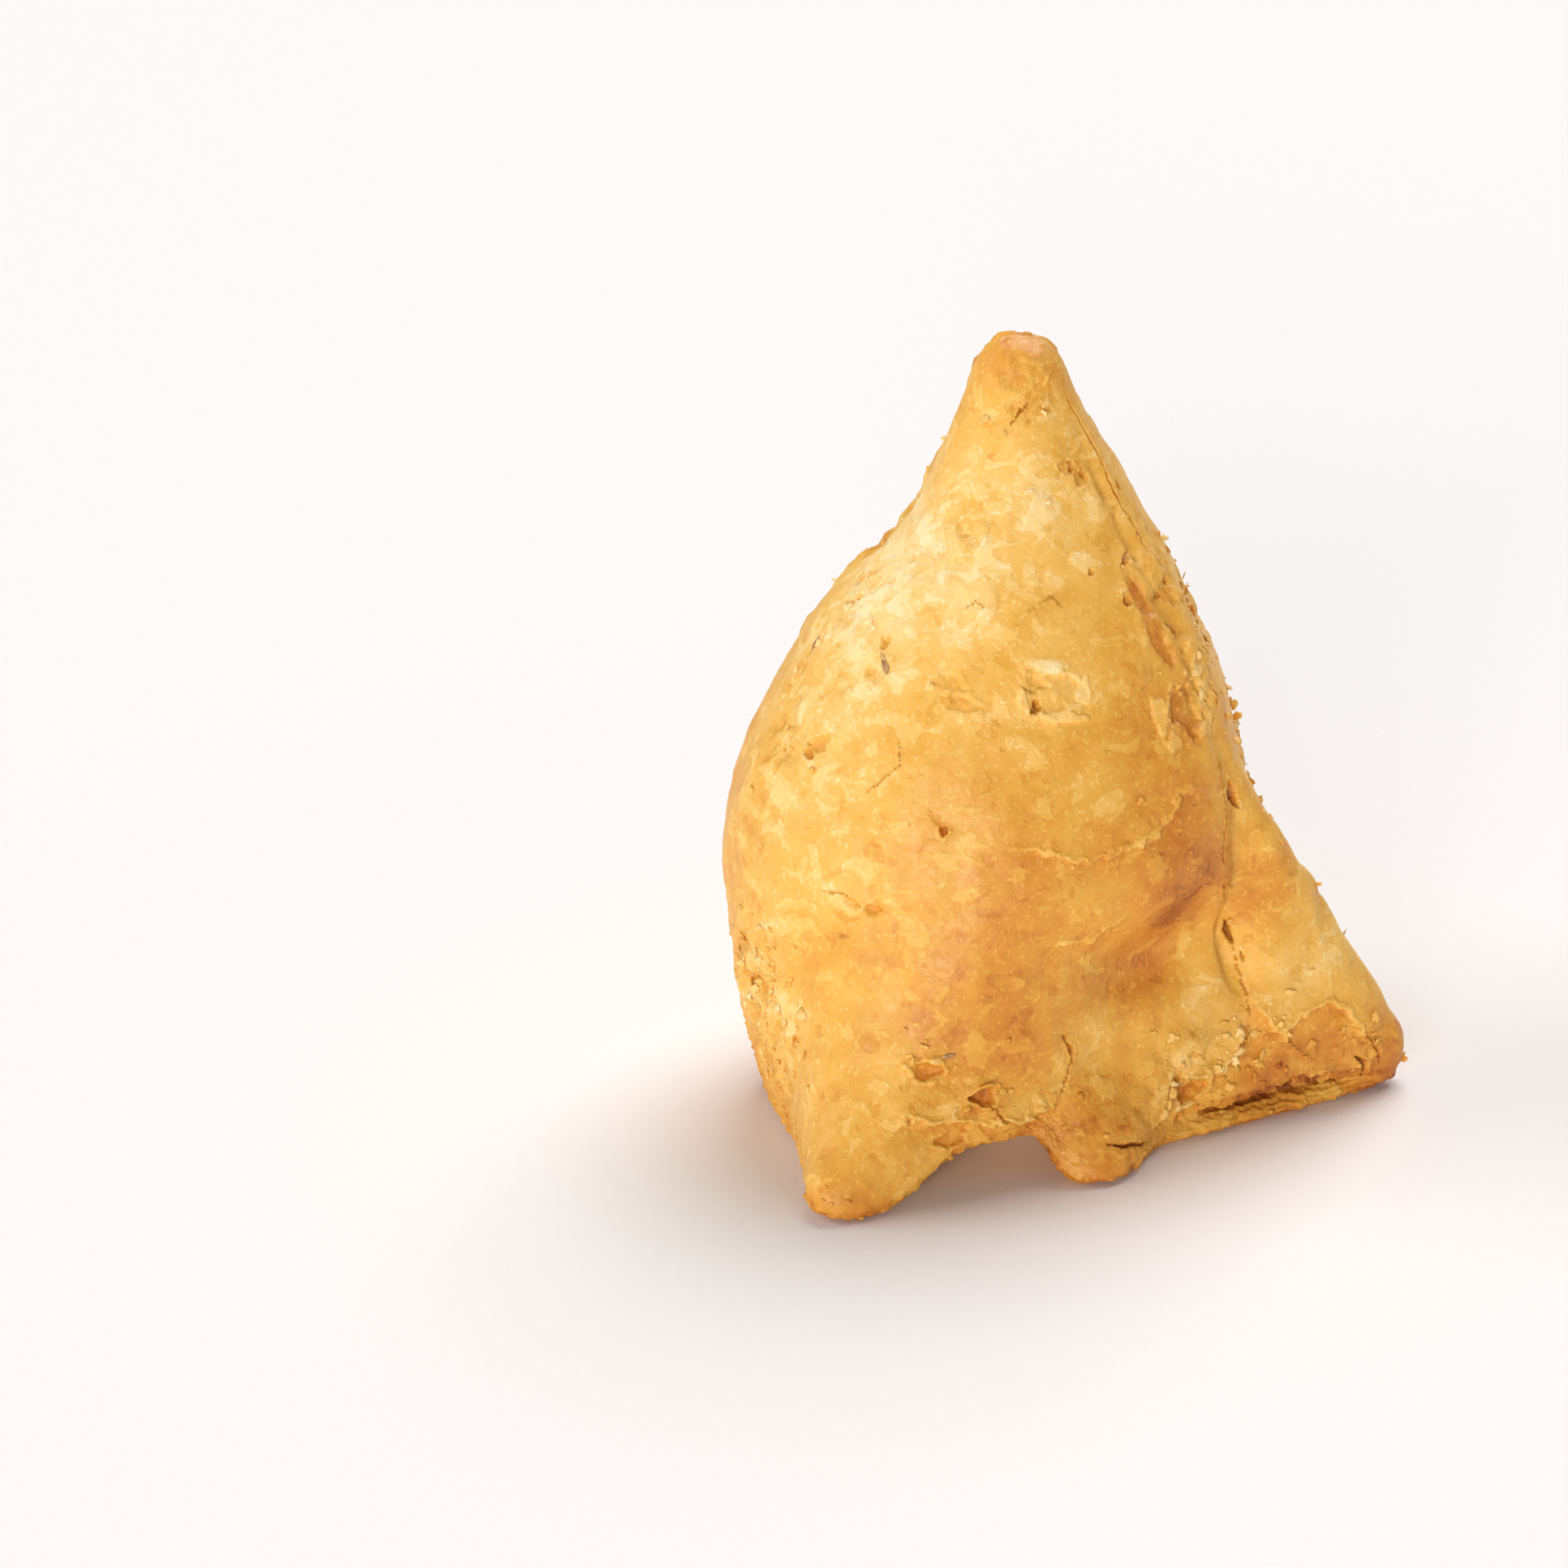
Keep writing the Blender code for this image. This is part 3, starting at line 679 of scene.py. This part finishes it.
print("scattered:", PIT_COUNT, "pits,", PIMPLE_COUNT, "pimples")

# %% [markdown]
# ### Layers at the torn edge
# Where the plies end, just above the table on the right, the dough shows thin layers on their side,
# like the edge of a pile of cloth. They are ridges that follow the edge, a little over half a
# millimetre apart, and they waver with the noise.

# %% Layered edge
LAYER_SPACING = 0.62
LAYER_DEPTH = 0.16
EDGE_RAGGED = 0.40

edge = smooth_step(0.05, -0.35, normals[:, 2]) * smooth_step(-0.97, -0.8, normals[:, 2])
edge *= smooth_step(RIM_TOP, 9.0, points[:, 2])
relief += edge * EDGE_RAGGED * (raggedness + 0.4 * raggedness_fine)
rough = np.maximum(rough, edge)

layered = smooth_step(8.0, 16.0, out_angle) * smooth_step(58.0, 52.0, out_angle) * smooth_step(3.4, 2.4, points[:, 2])
layered = np.maximum(layered, smooth_step(-31.0, -27.0, out_angle) * smooth_step(-14.0, -18.0, out_angle) * smooth_step(8.5, 6.5, points[:, 2]))
layer_phase = (points[:, 2] + 0.35 * raggedness + 0.5 * swells) / LAYER_SPACING
relief += LAYER_DEPTH * layered * np.sin(2.0 * math.pi * layer_phase)
print("layered vertices:", int((layered > 0.5).sum()))

# %% [markdown]
# ### Tone of the crust
# Frying takes dough along one line of colour: from cream through gold and amber to brown. Thin
# and proud parts go furthest along it, so the tips, the tongue and the edges are amber to brown,
# and the belly is gold. One number, the tone, says how far each place has gone, and the material
# turns it into a colour. It is 0 for cream, about 0.45 for gold and 1 for brown. The tone is also
# raised as painted shade in the fold under the belly and round the cave at the seam.

# %% Tone
# Rows: angle, height, reach, amount. The rows at (10, 28.5), (16, 33), (3, 22) and (-9, 22.5)
# are painted shade in the fold under the belly, and the row at (38, 7) is painted shade round the cave.
TONE_AND_SHADE_PLACES = (
    (-60.0, 88.0, 5.0, 0.07), (40.0, 86.0, 6.0, 0.08), (-36.0, 72.0, 8.0, -0.13), (0.0, 70.0, 7.0, -0.03),
    (-80.0, 63.0, 12.0, -0.28), (-85.0, 50.0, 9.0, -0.10), (-76.0, 40.0, 10.0, -0.10), (-45.0, 49.0, 8.0, 0.0),
    (10.0, 46.0, 10.0, 0.12), (27.0, 60.0, 5.0, 0.04), (10.0, 36.0, 8.0, 0.08), (-33.0, 31.0, 11.0, 0.16),
    (10.0, 28.5, 7.0, 0.32), (3.0, 22.0, 4.5, 0.12), (-9.0, 22.5, 4.0, 0.06), (46.0, 8.5, 4.0, 0.16),
    (16.0, 33.0, 5.0, 0.07), (-42.0, 28.5, 3.0, 0.07), (36.0, 29.0, 6.0, 0.17), (-37.0, 18.0, 8.0, 0.20),
    (-64.0, 20.0, 8.0, 0.03), (-86.0, 16.0, 7.0, -0.10), (20.0, 10.0, 5.0, -0.13), (42.0, 18.0, 6.5, -0.15),
    (-14.0, 4.0, 7.0, 0.24), (-55.0, 2.0, 5.0, 0.22), (54.0, 3.0, 6.0, 0.26), (35.0, 2.0, 6.0, 0.20),
    (-110.0, 35.0, 12.0, 0.05), (1.0, 15.0, 6.0, 0.07), (38.0, 7.0, 4.0, 0.20), (31.0, 5.0, 3.0, 0.12),
    (-22.0, 54.5, 3.5, -0.14), (-125.0, 68.0, 9.0, -0.18), (0.0, 88.0, 4.0, 0.06),
)
GOLD_TONE = 0.45

tone = GOLD_TONE + spots(points, TONE_AND_SHADE_PLACES)
tone += hidden * (0.08 + 0.20 * noise_field(20.0, 12, 2)) + 0.04 * noise_field(9.0, 13, 2)
tone += hidden * 0.22 * smooth_step(12.0, 2.0, points[:, 2])
tone += brown + 0.03 * flaking * (steps - 1.5) + 0.12 * edge
print("tone:", [round(float(q), 2) for q in np.percentile(tone, (5, 50, 95))])

# %% Creamy places
# Rows: angle, height, reach, amount
CREAM_PLACES = (
    (-84.0, 62.0, 11.0, 1.0), (-66.0, 67.0, 8.0, 0.6), (-40.0, 76.0, 7.0, 0.3), (-88.0, 48.0, 9.0, 0.8),
    (-74.0, 36.0, 8.0, 0.8), (-84.0, 20.0, 7.0, 1.0), (-48.0, 15.0, 4.0, 0.5), (22.0, 9.0, 6.0, 0.5),
    (58.0, 25.0, 7.0, 0.5), (-25.0, 55.0, 3.0, 0.5), (10.0, 11.0, 6.0, 0.6),
)

cream = spots(points, CREAM_PLACES) + hidden * (0.3 + 0.6 * noise_field(13.0, 14, 2))
cream = np.clip(cream, 0.0, 1.2)
print("creamy share of the crust:", round(float((cream > 0.5).mean()), 2))

# %% [markdown]
# ### The crust becomes an object
# The vertices move out along the normals by the relief. The foot stays flat on the table, because
# a fried crust that has stood on its base is pressed smooth there.

# %% Crust mesh
FOOT = 0.25

standing = smooth_step(-0.55, -0.9, normals[:, 2]) * smooth_step(2.0, 1.0, points[:, 2])
relief *= 1.0 - standing
surface = points + normals * relief[:, None]
surface[:, 2] = np.where(points[:, 2] < FOOT, points[:, 2], np.maximum(surface[:, 2], 0.05))

crust_mesh = bpy.data.meshes.new("crust")
crust_mesh.vertices.add(len(surface))
crust_mesh.vertices.foreach_set("co", (surface * MM).ravel())
crust_mesh.loops.add(triangles.size)
crust_mesh.loops.foreach_set("vertex_index", triangles.ravel().astype(np.int32))
crust_mesh.polygons.add(len(triangles))
crust_mesh.polygons.foreach_set("loop_start", np.arange(0, triangles.size, 3, dtype=np.int32))
crust_mesh.update(calc_edges=True)
crust_mesh.shade_smooth()
FIELDS = {"tone": tone, "rough": rough, "flakes": flakes, "flaking": flaking, "bare": bare, "hollow_shade": hollow_shade, "pale": pale, "cream": cream}
for field_name, values in FIELDS.items():
    crust_mesh.attributes.new(field_name, "FLOAT", "POINT").data.foreach_set("value", values.astype(np.float32))
crust = bpy.data.objects.new("crust", crust_mesh)
scene.collection.objects.link(crust)
print("crust valid:", not crust_mesh.validate(), "size, mm:", [round(d / MM, 1) for d in crust.dimensions])

# %% [markdown]
# ### Fried shortcrust dough
# The dough is wheat flour, fat and water, rolled by hand and deep-fried. The eye sees a satin skin
# with a little oil in it, cream to brown, that is never one colour: it is mottled over a few
# millimetres, peppered with pale pimples and small pores, and paler along every raised edge, partly
# from pale torn skin and partly as a painted highlight where the edge catches the light. The fields
# give the large pattern, with painted shade in the hollows and in the fold under the belly, and noise
# adds what is finer than the mesh.

# %% Patterns of the dough
# Rows: size in mm, flatness (how much lower than wide), octaves, swirl, where it begins and is full.
# The pimples of a fried skin are about 0.2 mm wide, and are drawn a little larger so that they show.
DOUGH_PATTERNS = {
    "mottle": (6.0, 1.0, 5.0, 0.3, 0.25, 0.75),
    "blotch": (2.2, 1.2, 4.0, 0.5, 0.30, 0.70),
    "grain": (0.8, 1.0, 3.0, 0.0, 0.25, 0.75),
    "dust": (0.28, 1.0, 2.0, 0.0, 0.25, 0.75),
    "rag": (1.1, 1.2, 5.0, 0.3, 0.30, 0.70),
    "sliver": (1.0, 1.9, 3.0, 0.6, 0.68, 0.74),
    "cream": (3.6, 1.3, 6.0, 0.5, 0.30, 0.70),
    "amber": (2.6, 1.0, 5.0, 0.4, 0.30, 0.70),
    "pimple": (0.50, 1.0, 0.0, 0.0, 0.66, 0.76),
    "pore": (1.2, 1.0, 0.0, 0.0, 0.80, 0.90),
}
# Rows: field, how ragged, where it begins and is full
DOUGH_EDGES = {"bare": (0.3, 0.15, 0.35), "hollow_shade": (0.3, 0.10, 0.40), "pale": (0.5, 0.35, 0.60)}
print("dough patterns:", len(DOUGH_PATTERNS))

# %% Dough material
DOUGH_COLOURS = (
    (0.00, "#f8dfa8"), (0.16, "#f6cf83"), (0.32, "#f0bc5d"), (0.46, "#e7ac44"),
    (0.60, "#dd9733"), (0.74, "#cd7e25"), (0.88, "#a85a1a"), (1.00, "#7c3f0e"),
)
# painted shade: the colour the hollows of pits, cracks and the cave are darkened towards
HOLLOW_SHADE_COLOUR = "#6a340c"
DOUGH_IOR = 1.46
DOUGH_ROUGHNESS = 0.40


def weighted(tree, start, *amounts):
    """start plus each source times its amount; both may be numbers or sockets."""
    for source, amount in amounts:
        sum_up = node(tree, "ShaderNodeMath", {"operation": "MULTIPLY_ADD"}, {0: source, 1: amount, 2: start})
        start = sum_up.outputs["Value"]
    return start


def rise(tree, value, begins, full):
    """0 before begins and 1 past full, with a smooth rise between."""
    limits = {"Value": value, "From Min": begins, "From Max": full}
    return node(tree, "ShaderNodeMapRange", {"interpolation_type": "SMOOTHSTEP"}, limits).outputs["Result"]


def dough_material(name, glow):
    """Fried shortcrust dough, coloured by the fields of the mesh; glow is the share of light that soaks in."""
    material, tree, shader = new_material(name)
    field = {key: node(tree, "ShaderNodeAttribute", {"attribute_name": key}).outputs["Fac"] for key in FIELDS}
    place = node(tree, "ShaderNodeTexCoord").outputs["Object"]
    pattern = {}
    for number, (key, (size, flatness, octaves, swirl, begins, full)) in enumerate(DOUGH_PATTERNS.items()):
        scale = 1.0 / (size * MM)
        scaled = node(tree, "ShaderNodeMapping", None, {
            "Vector": place, "Location": (3.7 * number, 0.0, 0.0), "Scale": (scale, scale, scale * flatness),
        })
        texture = node(tree, "ShaderNodeTexNoise", None, {
            "Vector": scaled.outputs["Vector"], "Scale": 1.0, "Detail": octaves, "Distortion": swirl,
        })
        pattern[key] = rise(tree, texture.outputs["Fac"], begins, full)

    # patches with ragged edges: creamy skin, and amber where the skin is thin
    cream = rise(tree, weighted(tree, pattern["cream"], (field["cream"], 0.34)), 0.76, 0.94)
    amber = rise(tree, weighted(tree, pattern["amber"], (field["rough"], 0.18)), 0.82, 1.02)
    # the edges of the marks, sharper than the mesh has them
    mark = {}
    for key, (ragged, begins, full) in DOUGH_EDGES.items():
        edge_share = rise(tree, weighted(tree, field[key], (pattern["rag"], ragged), (ragged, -0.5)), begins, full)
        mark[key] = weighted(tree, 0.0, (edge_share, field[key]))
    flakes = weighted(tree, field["flakes"], (pattern["rag"], 0.12), (0.12, -0.5))
    depth, rim = 0.0, 0.0
    for level in FLAKE_LEVELS:
        layer = rise(tree, flakes, level - 0.012, level + 0.012)
        inner = rise(tree, flakes, level - 0.055, level - 0.02)
        depth = weighted(tree, depth, (layer, field["flaking"]))
        rim = weighted(tree, rim, (inner, field["flaking"]), (layer, -1.0))
    rim = rise(tree, rim, 0.0, 0.6)

    # raised edges (rim and the pale marks) are paler: partly pale torn skin, partly a painted highlight where an edge
    # catches the light
    tone = weighted(
        tree, field["tone"], (pattern["mottle"], 0.14), (pattern["blotch"], 0.07), (pattern["grain"], 0.05),
        (pattern["dust"], 0.04), (1.0, -0.15), (cream, -0.13), (amber, 0.10), (rim, -0.08),
        (pattern["sliver"], -0.16), (pattern["pimple"], -0.13), (pattern["pore"], 0.12),
        (mark["bare"], 0.22), (mark["pale"], -0.16),
    )
    colours = node(tree, "ShaderNodeValToRGB", None, {"Fac": tone})
    stops = colours.color_ramp.elements
    while len(stops) < len(DOUGH_COLOURS):
        stops.new(0.5)
    for stop, (position, colour) in zip(stops, DOUGH_COLOURS):
        stop.position = position
        stop.color = linear(colour)
    # painted shade in the hollows of the marks
    shade_share = weighted(tree, 0.0, (mark["hollow_shade"], 0.75))
    coloured = node(tree, "ShaderNodeMix", {"data_type": "RGBA"}, {
        0: shade_share, 6: colours.outputs["Color"], 7: linear(HOLLOW_SHADE_COLOUR),
    })
    tree.links.new(coloured.outputs[2], shader.inputs["Base Color"])

    # relief finer than the mesh, in mm
    gritty = weighted(tree, 0.015, (field["rough"], 0.06))
    height = weighted(
        tree, 0.0, (pattern["dust"], 0.008), (pattern["grain"], gritty), (cream, 0.04), (amber, -0.04),
        (pattern["sliver"], 0.05), (pattern["pimple"], 0.02), (pattern["pore"], -0.05), (rim, 0.03),
        (depth, -0.05), (mark["bare"], -0.12), (mark["pale"], 0.06),
    )
    bump = node(tree, "ShaderNodeBump", None, {"Height": height, "Distance": MM, "Strength": 1.0})
    tree.links.new(bump.outputs["Normal"], shader.inputs["Normal"])

    roughness = weighted(
        tree, DOUGH_ROUGHNESS, (pattern["grain"], 0.14), (cream, 0.08), (amber, -0.06), (field["rough"], 0.08),
    )
    tree.links.new(roughness, shader.inputs["Roughness"])
    shader.inputs["IOR"].default_value = DOUGH_IOR
    shader.inputs["Subsurface Weight"].default_value = glow
    shader.inputs["Subsurface Radius"].default_value = (1.0, 0.5, 0.15)
    shader.inputs["Subsurface Scale"].default_value = 0.8 * MM
    return material


crust_mesh.materials.append(dough_material("fried_shortcrust", 0.2))
print("dough nodes:", len(crust_mesh.materials[0].node_tree.nodes))

# %% [markdown]
# ### Crumbs
# Torn dough leaves crumbs: the torn seam, the left edge and the right shoulder are lined with them.
# Each is a small ball of cells pushed out of round, half sunk in the crust, and all of them are one
# joined mesh that the table holds up. Their fields say how pale each one is, so that they can wear
# the same dough.

# %% Crumb tools
def template(maker, **settings):
    """The points and triangles of a bmesh primitive."""
    shape = bmesh.new()
    maker(shape, **settings)
    bmesh.ops.triangulate(shape, faces=shape.faces)
    cells = [[vertex.index for vertex in face.verts] for face in shape.faces]
    corners = np.array([vertex.co for vertex in shape.verts])
    shape.free()
    return corners, np.array(cells)


def joined_piece(name, parts, tones, bare_share):
    """One object from many (points, triangles) parts, each with its own tone."""
    counts = [len(part_points) for part_points, _ in parts]
    starts = np.concatenate([[0], np.cumsum(counts)[:-1]])
    all_points = np.concatenate([part_points for part_points, _ in parts]) * MM
    all_points[:, 2] = np.maximum(all_points[:, 2], 0.0)
    all_cells = np.concatenate([cells + start for (_, cells), start in zip(parts, starts)])
    mesh = bpy.data.meshes.new(name)
    mesh.from_pydata(all_points.tolist(), [], all_cells.tolist())
    mesh.shade_smooth()
    for key in FIELDS:
        values = np.zeros(len(all_points), dtype=np.float32)
        if key == "tone":
            values[:] = np.repeat(tones, counts)
        if key == "bare":
            values[:] = bare_share
        mesh.attributes.new(key, "FLOAT", "POINT").data.foreach_set("value", values)
    made = bpy.data.objects.new(name, mesh)
    scene.collection.objects.link(made)
    return made


def turned(shape, forward, right, up):
    """Points given as (right, up, forward) in the frame of a spot on the crust."""
    return shape[:, :1] * np.array(right) + shape[:, 1:2] * np.array(up) + shape[:, 2:] * np.array(forward)


print("crumb tools ready")

# %% Crumbs
CRUMB_COUNT = 400
CRUMB_PLACES = (
    (-88.0, 18.0, 6.0, 1.4), (-84.0, 9.0, 5.0, 1.2), (-76.0, 5.0, 5.0, 0.6), (0.0, 4.0, 5.0, 0.4),
    (16.0, 6.0, 3.0, 0.8), (28.0, 8.5, 3.0, 1.2), (38.0, 7.0, 5.0, 0.4), (48.0, 4.0, 4.0, 0.5),
    (62.0, 40.0, 6.0, 0.4), (62.0, 30.0, 6.0, 0.5), (62.0, 56.0, 6.0, 0.3), (60.0, 64.0, 5.0, 0.2),
    (-96.0, 58.0, 5.0, 0.15), (-30.0, 7.0, 7.0, 0.6), (22.0, 50.0, 4.0, 0.5), (-60.0, 1.0, 6.0, 0.4),
)

crumb_ball, crumb_cells = template(bmesh.ops.create_icosphere, subdivisions=1, radius=1.0)
crumb_weights = vertex_area * shown_share * (1.0 - bare) * (0.02 * rough + spots(points, CRUMB_PLACES) + hidden * 0.05 * rough)
crumbs, crumb_tones = [], []
for vertex in deal(CRUMB_COUNT, crumb_weights):
    place, right, up = spot_on(vertex)
    size = 0.10 + 0.30 * dealer.random() ** 2
    shift = Vector((dealer.random(), dealer.random(), dealer.random())) * 50.0
    lumps = np.array([1.0 + 0.8 * noise.noise(Vector(p) * 1.7 + shift) for p in crumb_ball])
    stretch = np.array((dealer.uniform(0.6, 1.8), dealer.uniform(0.6, 1.4), dealer.uniform(0.4, 1.0)))
    shape = crumb_ball * lumps[:, None] * stretch * size
    shape[:, 2] += 0.25 * size
    crumbs.append((turned(shape, normals[vertex], right, up) + surface[vertex], crumb_cells))
    crumb_tones.append(tone[vertex] + dealer.uniform(-0.10, 0.08))
crumb_piece = joined_piece("crumbs", crumbs, crumb_tones, 0.0)
crumb_piece.data.materials.append(dough_material("fried_crumbs", 0.0))
print("crumbs:", CRUMB_COUNT, "in", len(crumb_piece.data.polygons), "triangles")

# %% [markdown]
# ### Lifted flakes
# The thinnest layers of skin curl up and hold on by one edge. Each flake is a small ragged disc,
# 0.15 mm thick and slightly cupped, sunk into the crust on one side and lifted on the other.

# %% Flakes
FLAKE_COUNT = 330
FLAKE_THICKNESS = 0.15
FLAKE_RAYS = 14
FLAKE_PLACES = (
    (-95.0, 58.0, 8.0, 0.12), (-88.0, 17.0, 6.0, 1.3), (29.0, 9.5, 3.0, 1.6),
    (12.0, 7.0, 4.0, 0.8), (62.0, 36.0, 9.0, 0.5), (34.0, 52.0, 6.0, 0.7), (27.0, 48.0, 3.0, 1.4),
    (-48.0, 15.0, 2.5, 1.2), (-25.0, 82.0, 5.0, 0.3), (-38.0, 8.5, 4.0, 0.8), (5.0, 38.5, 3.0, 0.3),
    (36.0, 11.0, 3.0, 1.0), (50.0, 8.0, 3.0, 0.8), (62.0, 56.0, 6.0, 0.4),
)
# Rows: angle, height, width, lift in degrees, of flakes that stand up on the right shoulder
STANDING_FLAKES = (
    (58.0, 65.0, 0.60, 50.0), (60.0, 59.5, 0.75, 60.0), (57.0, 46.0, 0.65, 60.0), (56.0, 35.0, 1.00, 70.0),
    (54.0, 33.0, 0.80, 55.0), (56.0, 29.0, 0.90, 65.0), (56.0, 25.0, 0.95, 70.0), (57.0, 17.5, 0.75, 60.0),
)


def flake_shape(width, height_share, curl):
    """A ragged thin plate: rings of points on top and underneath, sewn at the rim."""
    turns = np.arange(FLAKE_RAYS) * 2.0 * math.pi / FLAKE_RAYS
    outline = np.array([dealer.uniform(0.45, 1.2) for _ in turns])
    outer = np.stack([np.cos(turns) * outline * width, np.sin(turns) * outline * width * height_share], axis=1)
    flat = np.concatenate([[[0.0, 0.0]], outer * 0.6, outer])
    cup = curl * (flat[:, 1] + width) ** 2 / (4.0 * width)
    half = FLAKE_THICKNESS / 2.0 * np.concatenate([np.ones(1 + FLAKE_RAYS), np.full(FLAKE_RAYS, 0.4)])
    top = np.column_stack([flat, cup + half])
    bottom = np.column_stack([flat, cup - half])
    count = len(top)
    cells = []
    for ray in range(FLAKE_RAYS):
        a, b = 1 + ray, 1 + (ray + 1) % FLAKE_RAYS
        c, d = a + FLAKE_RAYS, b + FLAKE_RAYS
        upper = [(0, a, b), (a, c, d), (a, d, b)]
        cells += upper + [(z + count, y + count, x + count) for x, y, z in upper]
        cells += [(c, c + count, d + count), (c, d + count, d)]
    return np.concatenate([top, bottom]), np.array(cells)


flake_weights = vertex_area * shown_share * (1.0 - bare) * (0.02 * rough + spots(points, FLAKE_PLACES) + hidden * 0.12 * rough)
flake_parts, flake_tones = [], []
flake_rows = [(vertex, 0.25 + 0.65 * dealer.random() ** 1.5, 4.0 + 46.0 * dealer.random() ** 2) for vertex in deal(FLAKE_COUNT, flake_weights)]
for angle, height, width, lift in STANDING_FLAKES:
    place = np.array(on_crust(angle, height)[0])
    flake_rows.append((int(((points - place) ** 2).sum(axis=1).argmin()), width, lift))
for vertex, width, lift in flake_rows:
    place, right, up = spot_on(vertex)
    shape, cells = flake_shape(width, dealer.uniform(0.5, 0.9), dealer.uniform(0.25, 0.7))
    lift = math.radians(lift)
    shape[:, 1] += width * 0.7
    y, z = shape[:, 1].copy(), shape[:, 2].copy()
    shape[:, 1], shape[:, 2] = y * math.cos(lift) - z * math.sin(lift), y * math.sin(lift) + z * math.cos(lift)
    turn = dealer.uniform(0.0, 2.0 * math.pi)
    x, y = shape[:, 0].copy(), shape[:, 1].copy()
    shape[:, 0], shape[:, 1] = x * math.cos(turn) - y * math.sin(turn), x * math.sin(turn) + y * math.cos(turn)
    flake_parts.append((turned(shape, normals[vertex], right, up) + surface[vertex], cells))
    # paler than the crust they sit on: partly their own pale skin, and partly painted light for the light that shines
    # through a thin flake
    flake_tones.append(tone[vertex] + dealer.uniform(-0.22, -0.04))
flake_piece = joined_piece("flakes", flake_parts, flake_tones, 0.0)
flake_piece.data.materials.append(dough_material("fried_flakes", 0.1))
print("flakes:", len(flake_rows), "in", len(flake_piece.data.polygons), "triangles")

# %% [markdown]
# ### Seeds in the dough
# A few cumin seeds were kneaded into the dough, and their ends show in slits of the crust. A
# cumin seed is a ridged spindle, about 4 mm long and 1 mm thick. Each one lies half sunk in its
# slit, in the direction that the slit runs.

# %% Seeds
# Rows: angle, height, length, turn from level, how far it is sunk
SEED_PLACES = (
    (-71.2, 56.4, 2.8, -52.0, 0.32),
    (-99.5, 55.6, 2.8, -80.0, 0.35),
    (-44.6, 16.4, 1.8, 10.0, 0.20),
    (32.6, 17.6, 2.2, -80.0, 0.9),
    (150.0, 40.0, 3.6, 30.0, 0.25),
    (-165.0, 62.0, 3.4, -70.0, 0.25),
)
SEED_RIDGES = 7

seed_ball, seed_cells = template(bmesh.ops.create_uvsphere, u_segments=28, v_segments=18, radius=1.0)
seeds = []
for angle, height, length, turn, sunk in SEED_PLACES:
    place, normal, right, up = on_crust(angle, height)
    near, across, along = around(place, right, up, 1.0)
    ground = float(relief[near].mean())
    girth = np.sqrt(np.clip(1.0 - seed_ball[:, 2] ** 2, 0.0, 1.0)) ** 0.6
    ridge = 1.0 + 0.14 * np.cos(SEED_RIDGES * np.arctan2(seed_ball[:, 1], seed_ball[:, 0]))
    radial = seed_ball[:, :2] / np.maximum(np.hypot(seed_ball[:, 0], seed_ball[:, 1]), 1e-6)[:, None]
    half_girth = 0.13 * length + 0.05
    long_way = seed_ball[:, 2] * length / 2.0
    bend = 0.10 * length * (1.0 - seed_ball[:, 2] ** 2)
    side = radial[:, 0] * girth * ridge * half_girth
    out = radial[:, 1] * girth * ridge * half_girth + bend * 0.5
    slope = math.radians(turn)
    shape = np.stack([long_way * math.cos(slope) - side * math.sin(slope), long_way * math.sin(slope) + side * math.cos(slope), out - sunk], axis=1)
    seeds.append((turned(shape, normal, right, up) + np.array(place) + np.array(normal) * ground, seed_cells))
seed_piece = joined_piece("seeds", seeds, [0.5] * len(seeds), 0.0)

seed_skin, seed_tree, seed_shader = new_material("cumin_seed")
# A dried, fried cumin seed: dull, mottled from brown to straw in patches of about half a
# millimetre.
seed_place = node(seed_tree, "ShaderNodeTexCoord").outputs["Object"]
seed_noise = node(seed_tree, "ShaderNodeTexNoise", None, {"Vector": seed_place, "Scale": 1.0 / (0.5 * MM), "Detail": 3.0})
seed_colours = node(seed_tree, "ShaderNodeValToRGB", None, {"Fac": seed_noise.outputs["Fac"]})
seed_colours.color_ramp.elements[0].position = 0.35
seed_colours.color_ramp.elements[0].color = linear("#8a5c34")
seed_colours.color_ramp.elements[1].position = 0.65
seed_colours.color_ramp.elements[1].color = linear("#d0a06a")
seed_tree.links.new(seed_colours.outputs["Color"], seed_shader.inputs["Base Color"])
seed_bump = node(seed_tree, "ShaderNodeBump", None, {"Height": seed_noise.outputs["Fac"], "Distance": 0.05 * MM})
seed_tree.links.new(seed_bump.outputs["Normal"], seed_shader.inputs["Normal"])
seed_shader.inputs["Roughness"].default_value = 0.6
seed_piece.data.materials.append(seed_skin)
print("seeds:", len(seeds))

# %% [markdown]
# ### The pieces on one body
# Every piece rides on the part's one body. The crust stands for the solid, which is hidden.

# %% Finish
for piece in (crust, crumb_piece, flake_piece, seed_piece):
    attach(piece, "root")
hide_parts("samosa")
bpy.context.view_layer.update()
